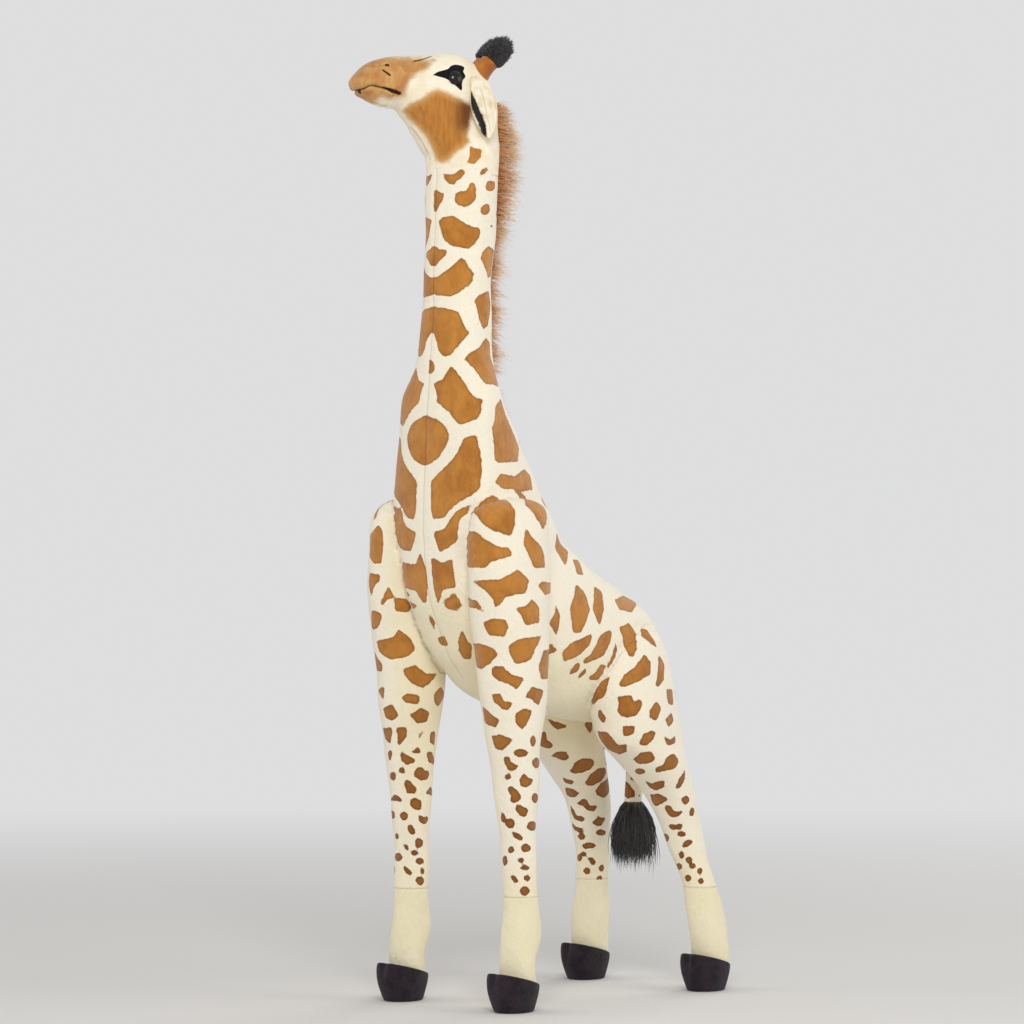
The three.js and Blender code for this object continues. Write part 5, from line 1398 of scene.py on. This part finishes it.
# The ears. Two layers of plush sewn back to back into a cupped leaf, cream with a black stripe outside and
# tan behind, hung from a rolled root so that they flop.
EAR_LENGTH, EAR_HALF_WIDTH, EAR_THICKNESS, EAR_LINING = 0.086, 0.019, 0.0035, 0.002
EAR_CUP, EAR_STAND_OFF, EAR_ROOT_RADIUS, EAR_SWEEP = 0.005, 0.009, 0.006, np.radians(12)
EAR_RIPPLE, EAR_RIPPLE_TURNS, EAR_SIDES = 0.0012, 9, 40
LINING_WIDTH, LINING_FULLNESS, LINING_SUNK = 0.94, 1.4, 0.0006
# Each row: down the ear, half width, stand-off from the head, thickness.
EAR_SHARES = [
    [-0.07, 0.2, -0.3, 1.6],
    [0.01, 0.42, 0, 1.8],
    [0.1, 0.55, 0.4, 1.3],
    [0.22, 0.82, 0.85, 1],
    [0.4, 1, 1, 1],
    [0.62, 0.95, 1, 1],
    [0.8, 0.7, 0.95, 0.9],
    [0.93, 0.38, 0.9, 0.8],
    [1, 0.06, 0.88, 0.5],
]
EAR_ROW, EAR_ANGLE = 3, np.radians(34)
STRIPE_TOP, STRIPE_FOOT, STRIPE_HALF = (0.34, 0.8), (0.8, 0.3), 0.2
# The crease is painted shade: a brownish line along the hollow of the cupped ear.
CREASE_SHADE_TOP, CREASE_SHADE_FOOT = (0.2, -0.1), (0.84, -0.2)


def ear_leaf(mirror, rows, width_share, thickness, offset):
    """Flat rings down the ear, each bent outwards towards its edges, and how far down and across each is."""
    place, out = head_side(EAR_ROW, EAR_ANGLE)
    pivot = (place + out * np.array([1, 0, 1]) * EAR_ROOT_RADIUS) * np.array([mirror, 1, 1])
    down = np.array([0, np.sin(EAR_SWEEP), -np.cos(EAR_SWEEP)])
    ahead = np.array([0, -np.cos(EAR_SWEEP), -np.sin(EAR_SWEEP)])
    far, wide, off, thick = smoothed(rows, 5).T[:, :, None]
    angle = np.linspace(0, 2 * np.pi, EAR_SIDES, endpoint=False)
    across = wide * width_share * np.cos(angle)
    cup = EAR_CUP * across**2 + EAR_RIPPLE * np.cos(across * EAR_RIPPLE_TURNS) * far
    out_by = off * EAR_STAND_OFF + offset + cup + np.sin(angle) * thick * thickness / 2
    grid = pivot + (far * EAR_LENGTH)[..., None] * down + (across * EAR_HALF_WIDTH)[..., None] * ahead
    points, faces = closed(grid + out_by[..., None] * np.array([mirror, 0, 0]))
    ends = [[rows[0][0], 0], [rows[-1][0], 0]]
    flat = np.vstack([np.stack([far + 0 * across, across], -1).reshape(-1, 2), ends])
    return faced(points), faces, flat


def ear_plush():
    """Cream plush with a dyed black stripe and painted shade along a crease in the hollow of the cup: the
    attributes stripe and crease are the distances from their middles on the leaf laid flat."""
    finish = Finish("ear_plush")
    place = finish.place()
    ragged = (finish.noise(place, 240, 3.0, 0.6) - 0.5) * 0.16
    stripe = 1 - (finish.attribute("stripe") + ragged).rise(STRIPE_HALF - 0.05, STRIPE_HALF + 0.06)
    edge = (finish.attribute("edge") + ragged * 0.5).rise(0.78, 1.0)
    cloud = finish.noise(place, 70, 3.0).rise(0.4, 0.7)
    cream = finish.mixed(colour(250, 240, 216), colour(232, 212, 172), cloud)
    shade = finish.mixed(cream, colour(222, 184, 120), edge * 0.6)
    # Painted shade along the crease in the hollow of the cup.
    crease = 1 - (finish.attribute("crease") + ragged * 0.3).rise(0.02, 0.12)
    shade = finish.mixed(shade, colour(206, 172, 130), crease * 0.45)
    shade = finish.mixed(shade, colour(34, 30, 32), stripe)
    return pile_surface(finish, place, shade, SHORT_PILE)


ear_front = ear_plush()
ear_back = plain_plush("ear_back_plush", colour(248, 232, 198), colour(222, 184, 124), 40)
for side, mirror in SIDES.items():
    backing = (EAR_SHARES, 1, EAR_THICKNESS, 0, ear_back, f"ear_{side}", "spotted_plush", f"ear_coat_{side}")
    lining_lift = (EAR_THICKNESS + EAR_LINING) / 2 - LINING_SUNK
    lining = (
        EAR_SHARES[1:], LINING_WIDTH, EAR_LINING * LINING_FULLNESS, lining_lift, ear_front,
        f"ear_lining_{side}", "cream_plush", f"ear_lining_coat_{side}",
    )
    for rows, width_share, thickness, offset, material, node, slot, name in (backing, lining):
        leaf_points, leaf_faces, flat = ear_leaf(mirror, rows, width_share, thickness, offset)
        stripe = path_distance(flat, np.array([STRIPE_TOP, STRIPE_FOOT]))
        crease = path_distance(flat, np.array([CREASE_SHADE_TOP, CREASE_SHADE_FOOT]))
        marks = {"stripe": stripe, "edge": np.abs(flat[:, 1]), "crease": crease}
        leaf = new_piece(name, leaf_points, leaf_faces, material, marks)
        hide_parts(node)
        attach(leaf, f"ear_{side}")

# The mane. Long soft hair in a strip sewn along the back of the neck and up the back of the head, brushed out
# and a little frizzy, darker at its roots than at its tips.
MANE_HALF_WIDTH = 0.010
# Each pair: height, length of the hair there.
MANE_REACHES = np.array([
    [0.75, 0.020], [0.83, 0.032], [0.9, 0.042], [0.95, 0.050], [1.02, 0.052], [1.28, 0.049], [1.3, 0.038],
])
MANE_FOOT, MANE_TOP, CROWN_FOOT, CROWN_TOP = 0.748, 1.232, 1.226, 1.304
MANE_COUNT, CROWN_MANE_COUNT, HAIR_THICKNESS = 5200, 1500, 0.00058
MANE_TWIST_START = NECK_ROOT + 0.75 * NECK_LENGTH
MANE_SHADES = [colour(206, 128, 58), colour(222, 158, 92), colour(240, 196, 148), colour(252, 230, 205)]
# How deep the hairs are rooted, in metres, and how much their ways and their waves differ.
MANE_SUNK, MANE_FRIZZ, MANE_WAVE = 0.006, 0.13, 0.045
# How far the hairs spread sideways, gather in clumps sideways and upwards, and droop; then the least and the
# most of how far they fall, of their length and of their thickness.
MANE_SPREAD, MANE_CLUMP, MANE_CLUMP_LIFT, MANE_DROOP = 0.3, 0.1, 0.06, 0.05
MANE_FALL, MANE_LENGTHS, MANE_THICKS = (-0.34, 0.06), (0.4, 1.0), (0.7, 1.2)
# The stretches of one hair, the power that its taper follows, the radians that its wave turns through, and
# those by which the next hair's wave is ahead.
HAIR_SPANS, HAIR_TAPER, HAIR_TURNS, HAIR_PHASE = 5, 0.6, 7, 2.4
# A way that hairs seldom run along.
HAIR_SLANT = np.array([0.37, 0.21, 0.9])
# A hair's root is one face, its tip three, and each span between has three sides of two.
HAIR_FACES = 1 + 3 + 6 * (HAIR_SPANS - 1)


def hairs(roots, ways, bends, waves, lengths, thick, spans=HAIR_SPANS):
    """Tapered three-sided hairs: root + length (way t + bend t squared + wave t sin) as t goes from 0 to 1,
    with its root and its tip closed. Returns the points, the faces and how far up its hair each face is."""
    count = len(roots)
    t = (np.arange(spans) / spans)[:, None]
    phase = (np.arange(count) * HAIR_PHASE)[:, None, None]
    ways, bends, waves, reach = ways[:, None], bends[:, None], waves[:, None], np.reshape(lengths, (-1, 1, 1))
    path = roots[:, None] + reach * (ways * t + bends * t**2 + waves * t * np.sin(HAIR_TURNS * t + phase))
    along = unit(np.gradient(path, axis=1))
    level = unit(np.cross(along, HAIR_SLANT))
    over = np.cross(along, level)
    half = (np.broadcast_to(thick, count)[:, None] * (1 - t[:, 0]) ** HAIR_TAPER)[..., None, None]
    corner = np.array([0, 1, 2]) * 2 * np.pi / 3
    spread = level[..., None, :] * np.cos(corner)[:, None] + over[..., None, :] * np.sin(corner)[:, None]
    rings = (path[..., None, :] + half * spread).reshape(count, spans * 3, 3)
    tips = roots[:, None] + reach * (ways + bends + waves * np.sin(HAIR_TURNS + phase))
    points = np.concatenate([rings, tips], 1)
    faces, shares = [[2, 1, 0]], [0]
    for ring in range(spans):
        for side in range(3):
            near, far = ring * 3 + side, ring * 3 + (side + 1) % 3
            if ring == spans - 1:
                strip = [[near, far, spans * 3]]
            else:
                strip = [[near, far, far + 3], [near, far + 3, near + 3]]
            faces += strip
            shares += [ring / (spans - 1)] * len(strip)
    starts = np.arange(count) * points.shape[1]
    all_faces = (starts[:, None, None] + np.array(faces)).reshape(-1, 3)
    return points.reshape(-1, 3), all_faces, np.tile(shares, count)


def hair_material(name, shade):
    return Finish(name).surface({"Base Color": shade, "Roughness": 0.55, "Sheen Weight": 0.2})


def hair_piece(name, points, faces, shares, materials, rng):
    """Hairs as one piece whose materials follow one another from root to tip, sooner in some hairs."""
    piece = new_piece(name, points, faces, materials[0])
    for material in materials[1:]:
        piece.data.materials.append(material)
    shift = np.repeat(rng.uniform(-0.6, 0.6, len(shares) // HAIR_FACES), HAIR_FACES)
    index = np.clip(np.round(shares * (len(materials) - 1) + shift), 0, len(materials) - 1).astype(np.int32)
    piece.data.polygons.foreach_set("material_index", index)
    return piece


def neck_back_at(z):
    height, _, back, _, _ = neck_rows()
    return np.interp(z, height, back)


def head_back_at(z):
    rows = np.array(HEAD_SHARES[:6])
    return np.interp((z - NECK_TOP) / HEAD_HEIGHT, rows[:, 1], -rows[:, 0] * HEAD_LENGTH)


def twist_at(z):
    """How far the back of the neck has turned at a height, eased from the lower neck's way to the head's."""
    share = np.clip((z - MANE_TWIST_START) / (NECK_TOP - MANE_TWIST_START), 0, 1)
    return HEAD_TURN * share**2 * (3 - 2 * share)


def mane(name, foot, top, back_at, count, seed):
    """Hairs rooted along a strip down the back, pointing back with a fall that grows towards their tips."""
    rng = np.random.default_rng(seed)
    z = rng.uniform(foot, top, count)
    turn = twist_at(z)
    back = column(-np.sin(turn), np.cos(turn), 0)
    side = column(np.cos(turn), np.sin(turn), 0)
    across = rng.uniform(-1, 1, count)[:, None]
    roots = NECK_LINE + back * (back_at(z) - MANE_SUNK)[:, None] + side * (across * MANE_HALF_WIDTH)
    roots[:, 2] = z
    clump = np.sin(z * 160 + 2 * np.sin(z * 61))[:, None]
    sideways = across * MANE_SPREAD + clump * MANE_CLUMP
    ways = back + side * sideways + UP * (MANE_CLUMP_LIFT * clump - MANE_DROOP)
    ways = unit(ways + rng.normal(0, MANE_FRIZZ, (count, 3)))
    bends = UP * rng.uniform(*MANE_FALL, (count, 1))
    waves = rng.normal(0, MANE_WAVE, (count, 3))
    lengths = np.interp(z, *MANE_REACHES.T) * rng.uniform(*MANE_LENGTHS, count) * (0.92 + 0.08 * clump[:, 0])
    thick = HAIR_THICKNESS * rng.uniform(*MANE_THICKS, count)
    points, faces, shares = hairs(roots, ways, bends, waves, lengths, thick)
    return hair_piece(name, points, faces, shares, mane_shades, rng)


mane_shades = [hair_material(f"mane_hair_{number}", shade) for number, shade in enumerate(MANE_SHADES)]
neck_mane = mane("neck_mane", MANE_FOOT, MANE_TOP, neck_back_at, MANE_COUNT, 5)
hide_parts("mane_neck")
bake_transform(neck_mane)
crown_mane = mane("crown_mane", CROWN_FOOT, CROWN_TOP, head_back_at, CROWN_MANE_COUNT, 6)
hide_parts("mane_crown")
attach(crown_mane, "head")

# The ossicones. Two short stuffed horns of tan plush, sewn on behind the eyes, each with a thick black tuft
# of clipped hair over its end.
OSSICONE_LENGTH, OSSICONE_RADIUS, OSSICONE_TUFT_LENGTH, OSSICONE_TUFT_RADIUS = 0.027, 0.013, 0.042, 0.015
OSSICONE_LEAN, OSSICONE_SPLAY = np.radians(41), np.radians(3)
OSSICONE_PLACE, OSSICONE_SPREAD, OSSICONE_SIDES = (-0.128, 0.8), 0.26, 40
OSSICONE_HAIRS, OSSICONE_HAIR_LENGTH, OSSICONE_HAIR_THICKNESS = 2600, 0.0115, 0.0007
# Hairs start this far below the horn's end, and up to this share of the tuft's length above that.
TUFT_START, TUFT_SHARE, TUFT_CORE_SIDES = 0.004, 0.82, 32
# Each pair: radius and place along the horn. Then the same for the solid middle of its tuft.
OSSICONE_STEM = [[0.01, 0], [1.3, 0.02], [1.22, 0.3], [1.04, 0.6], [0.94, 1], [0.5, 1.06], [0.01, 1.07]]
TUFT_CORE = [[0.01, 0], [0.76, 0.02], [0.82, 0.3], [0.84, 0.6], [0.72, 0.8], [0.4, 0.88], [0.01, 0.9]]
# Each pair: place along the tuft, radius at which its hairs are rooted.
TUFT_ROOTS = np.array([[0, 0.74], [0.3, 0.8], [0.75, 0.78], [1, 0.15]])
BLACK_SHADES = [colour(18, 15, 17), colour(30, 26, 28), colour(48, 42, 46)]
black_shades = [hair_material(f"black_hair_{number}", shade) for number, shade in enumerate(BLACK_SHADES)]
horn_plush = plain_plush("ossicone_plush", colour(196, 124, 52), colour(160, 92, 38), 50)
for side, mirror in SIDES.items():
    base = head_point(*OSSICONE_PLACE) + np.array([mirror * OSSICONE_SPREAD * HEAD_HALF_WIDTH, 0, 0])
    lean = unit(np.array([mirror * np.sin(OSSICONE_SPLAY), np.sin(OSSICONE_LEAN), np.cos(OSSICONE_LEAN)]))
    sunk, reach = base - lean * OSSICONE_RADIUS, OSSICONE_LENGTH + OSSICONE_RADIUS
    stem = smoothed(OSSICONE_STEM, 4) * [OSSICONE_RADIUS, reach]
    stem_points, stem_faces = turned_form(stem, sunk, lean, OSSICONE_SIDES)
    horn = new_piece(f"ossicone_coat_{side}", faced(stem_points), stem_faces, horn_plush)
    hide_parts(f"ossicone_{side}")
    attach(horn, "head")
    rng = np.random.default_rng(21)
    far, angle = rng.uniform(0, 1, OSSICONE_HAIRS), rng.uniform(0, 2 * np.pi, OSSICONE_HAIRS)
    level = unit(np.cross(lean, SLANTED))
    around = level * np.cos(angle)[:, None] + np.cross(lean, level) * np.sin(angle)[:, None]
    core = OSSICONE_TUFT_RADIUS * np.interp(far, *TUFT_ROOTS.T)
    along = reach - TUFT_START + far * OSSICONE_TUFT_LENGTH * TUFT_SHARE
    roots = sunk + lean * along[:, None] + around * core[:, None]
    ways = around * (1.1 - 0.5 * far)[:, None] + lean * (0.6 + 0.5 * far)[:, None]
    ways = unit(ways + rng.normal(0, 0.2, (len(far), 3)))
    bends, waves = lean * 0.2 - around * 0.2, rng.normal(0, 0.08, (len(far), 3))
    lengths = OSSICONE_HAIR_LENGTH * rng.uniform(0.55, 1.15, len(far))
    tuft_points, tuft_faces, shares = hairs(roots, ways, bends, waves, lengths, OSSICONE_HAIR_THICKNESS)
    tuft = hair_piece(f"ossicone_tuft_hair_{side}", faced(tuft_points), tuft_faces, shares, black_shades, rng)
    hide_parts(f"ossicone_tuft_{side}")
    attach(tuft, "head")
    profile = smoothed(TUFT_CORE, 4) * [OSSICONE_TUFT_RADIUS, OSSICONE_TUFT_LENGTH]
    core_points, core_faces = turned_form(profile, sunk + lean * reach, lean, TUFT_CORE_SIDES)
    tuft_core = new_piece(f"ossicone_tuft_core_{side}", faced(core_points), core_faces, black_shades[1])
    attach(tuft_core, "head")

# The hooves. Dark short-pile plush over stiff board, each with a flat sole and a notch down the toe where its
# two halves are drawn in by a stitch.
HOOF_HEIGHT, HOOF_HALF_WIDTH, HOOF_HALF_LENGTH = 0.045, 0.0325, 0.0395
HOOF_SLOPE, HOOF_HEEL = np.tan(np.radians(15)), 1.13
HOOF_NOTCH_DEPTH, HOOF_NOTCH_WIDTH, HOOF_NOTCH_START, HOOF_SIDES = 0.005, 0.006, 0.25, 64
HOOF_SHEEN = {"Sheen Weight": 0.08, "Sheen Roughness": 0.6, "Specular IOR Level": 0.25}
# Each row: height, place back from the leg, half width, half length.
HOOF_SHARES = [
    [0, -0.26, 0.66, 0.66],
    [0.02, -0.26, 0.73, 0.73],
    [0.08, -0.27, 0.79, 0.79],
    [0.45, -0.33, 0.94, 0.94],
    [0.72, -0.33, 1, 1],
    [0.93, -0.3, 1, 1],
    [0.99, -0.27, 0.96, 0.95],
    [1, -0.2, 0.86, 0.83],
    [1, -0.1, 0.6, 0.56],
]


def hoof_form(foot_out, foot_back):
    """Level ellipses whose height falls from the toe to the heel, drawn in where the toes part."""
    height, back, width, length = smoothed(HOOF_SHARES, 5).T
    angle = np.linspace(0, 2 * np.pi, HOOF_SIDES, endpoint=False)
    x = width[:, None] * HOOF_HALF_WIDTH * np.cos(angle)
    heel = np.where(np.sin(angle) > 0, HOOF_HEEL, 1)
    y = (back[:, None] + length[:, None] * heel * np.sin(angle)) * HOOF_HALF_LENGTH
    notch = HOOF_NOTCH_DEPTH * np.exp(-((x / HOOF_NOTCH_WIDTH) ** 2)) * (np.sin(angle) < 0)
    y = y + notch * eased(height[:, None], HOOF_NOTCH_START, 1)
    z = np.clip(height, 0, 1)[:, None] * (HOOF_HEIGHT - HOOF_SLOPE * y)
    return closed(np.stack([x + foot_out, y + foot_back + NECK_LINE[1], z], -1))


hoof_plush = plain_plush("hoof_plush", colour(44, 33, 42), colour(22, 17, 22), 60, HOOF_SHEEN)
for end, side, leg, mirror in LIMBS:
    _, out, back, _, _ = leg_rows(leg)
    hoof = new_piece(f"hoof_coat_{end}_{side}", *hoof_form(mirror * out[-1], back[-1]), hoof_plush)
    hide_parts(f"hoof_{end}_{side}")
    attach(hoof, "torso")

# The tail. A stuffed tube of spotted plush sewn into the rump, with a thick tuft of long black hair sewn in
# its end.
TAIL_ROOT = np.array([0, 0.223602, 0.54])
TAIL_RADIUS, TAIL_LENGTH, TAIL_SIDES = 0.014, 0.267, 40
TAIL_TUFT_LENGTH, TAIL_TUFT_HAIRS, TAIL_HAIR_THICKNESS = 0.086, 3200, 0.0011
# How the tuft's hairs flare, fall and differ at their roots, then close in, sag and wave towards their tips.
TAIL_FLARE, TAIL_FALL, TAIL_FRIZZ = 0.62, 0.8, 0.09
TAIL_CLOSE, TAIL_SAG, TAIL_WAVE = 0.45, 0.2, 0.03
# The cells of the tail's print lie round every so many points, from the first given.
TAIL_SITE_START, TAIL_SITE_STEP, TAIL_CELL_GAP = 30, 53, 0.009
# The one patch of the tail that shows, in pixels of the photographed view.
TAIL_PATCH = [(622, 784), (626, 781.5), (630, 784), (635.5, 791), (635, 797), (628, 799), (622, 795)]
# Each row: down the tail, place behind the root, radius.
TAIL_SHARES = [
    [-0.02, -2.2, 0.8],
    [-0.045, -0.8, 1],
    [-0.03, 0.4, 1],
    [0.04, 1.1, 1],
    [0.16, 1.5, 1],
    [0.5, 1.1, 0.96],
    [0.8, 0.6, 0.92],
    [0.98, 0.3, 0.9],
    [1.01, 0.3, 0.3],
]


def tail_form():
    """A tube along the tail's route, each ring square to it, drawn in at both ends."""
    down, behind, radius = smoothed(TAIL_SHARES, 8).T
    path = TAIL_ROOT + column(0, behind * TAIL_RADIUS, -down * TAIL_LENGTH)
    over = np.cross(unit(np.gradient(path, axis=0)), np.array([1.0, 0, 0])) * (radius * TAIL_RADIUS)[:, None]
    return closed(ring_grid(path, column(radius * TAIL_RADIUS, 0, 0), over, -over, TAIL_SIDES))


def tail_tuft():
    """Hairs from the end of the tail that spread, fall and come together towards their tips."""
    rng = np.random.default_rng(11)
    end = TAIL_ROOT + np.array([0, TAIL_SHARES[-1][1] * TAIL_RADIUS, -TAIL_LENGTH])
    angle, far = rng.uniform(0, 2 * np.pi, TAIL_TUFT_HAIRS), np.sqrt(rng.uniform(0, 1, TAIL_TUFT_HAIRS))
    around = column(np.cos(angle), np.sin(angle), 0)
    sunk = column(0, 0, rng.uniform(-0.010, 0.004, len(far)))
    roots = end + around * (far * TAIL_RADIUS * 0.95)[:, None] + sunk
    ways = around * (far * TAIL_FLARE)[:, None] - UP * TAIL_FALL
    ways += rng.normal(0, TAIL_FRIZZ, (len(far), 3))
    bends = around * (-far * TAIL_CLOSE)[:, None] - UP * TAIL_SAG
    waves = rng.normal(0, TAIL_WAVE, (len(far), 3))
    lengths = TAIL_TUFT_LENGTH * rng.uniform(0.5, 1.0, len(far)) ** 1.2
    points, faces, shares = hairs(roots, ways, bends, waves, lengths, TAIL_HAIR_THICKNESS)
    return hair_piece("tail_tuft_hair", points, faces, shares, black_shades, rng)


tail_points, tail_faces = tail_form()
tail_sites = tail_points[np.arange(TAIL_SITE_START, len(tail_points) - 2, TAIL_SITE_STEP)]
tail_rings = tail_points[:-2].reshape(-1, TAIL_SIDES, 3)
tail_out = np.vstack([unit(tail_rings - tail_rings.mean(1, keepdims=True)).reshape(-1, 3), UP, -UP])
tail_tree = BVHTree.FromPolygons(tail_points.tolist(), tail_faces)
tail_shown = mark(tail_points, tail_out, on_coat(tail_tree, TAIL_PATCH))
tail_patch, _ = cells(tail_points, tail_sites, TAIL_CELL_GAP)
tail_patch = np.maximum(tail_shown, np.minimum(tail_patch, -tail_shown - PATCH_GAP))
tail_marks = {
    "patch": tail_patch,
    "under": np.zeros(len(tail_points)),
    "seam": np.full(len(tail_points), NO_SEAM),
}
tail_coat = new_piece("tail_coat", tail_points, tail_faces, spotted, tail_marks)
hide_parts("tail_base", "tail")
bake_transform(tail_coat)
tuft = tail_tuft()
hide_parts("tail_tuft")
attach(tuft, "tail")

# The frame inside. Bent steel rod, with a wire loop that shapes the head, stiff board discs in the hooves and
# plastic washers that hold the eyes. These keep their own shapes and get only a finish.
INNER_NODES = {
    "frame_steel": [
        "body_frame", "neck_rod", "head_wire", *[f"leg_rod_{end}_{side}" for end, side, _, _ in LIMBS],
    ],
    "foot_board": [f"foot_plate_{end}_{side}" for end, side, _, _ in LIMBS],
    "washer_plastic": [f"eye_washer_{side}" for side in SIDES],
}


def frame_steel():
    """Drawn steel with a little rust bloom in the scratches."""
    finish = Finish("frame_steel_finish")
    place = finish.place()
    scratches = finish.noise(finish.stretched(place, (1, 1, 0.08)), 600, 3.0, 0.6)
    bloom = finish.noise(place, 60, 4.0, 0.6).rise(0.56, 0.72)
    shade = finish.mixed(colour(150, 150, 152), colour(122, 84, 60), bloom * 0.6)
    rough = scratches * 0.3 + 0.25
    return finish.surface(
        {"Base Color": shade, "Metallic": 1.0, "Roughness": rough, "Normal": finish.bump(scratches, 0.0002)}
    )


def foot_board():
    """Grey-brown pressed board with visible fibres."""
    finish = Finish("foot_board_finish")
    fibres = finish.noise(finish.place(), 300, 5.0, 0.7)
    shade = finish.mixed(colour(150, 122, 88), colour(112, 88, 60), fibres.rise(0.35, 0.7))
    return finish.surface({"Base Color": shade, "Roughness": 0.85, "Normal": finish.bump(fibres, 0.0004)})


def washer_plastic():
    """Milky moulded plastic, slightly uneven."""
    finish = Finish("washer_plastic_finish")
    cloud = finish.noise(finish.place(), 120, 2.0)
    shade = finish.mixed(colour(232, 230, 224), colour(214, 211, 204), cloud.rise(0.35, 0.65))
    return finish.surface({"Base Color": shade, "Roughness": 0.4, "Normal": finish.bump(cloud, 0.0002)})


for slot, finished in (
    ("frame_steel", frame_steel()), ("foot_board", foot_board()), ("washer_plastic", washer_plastic()),
):
    for node in INNER_NODES[slot]:
        bpy.data.objects[node].material_slots[0].material = finished
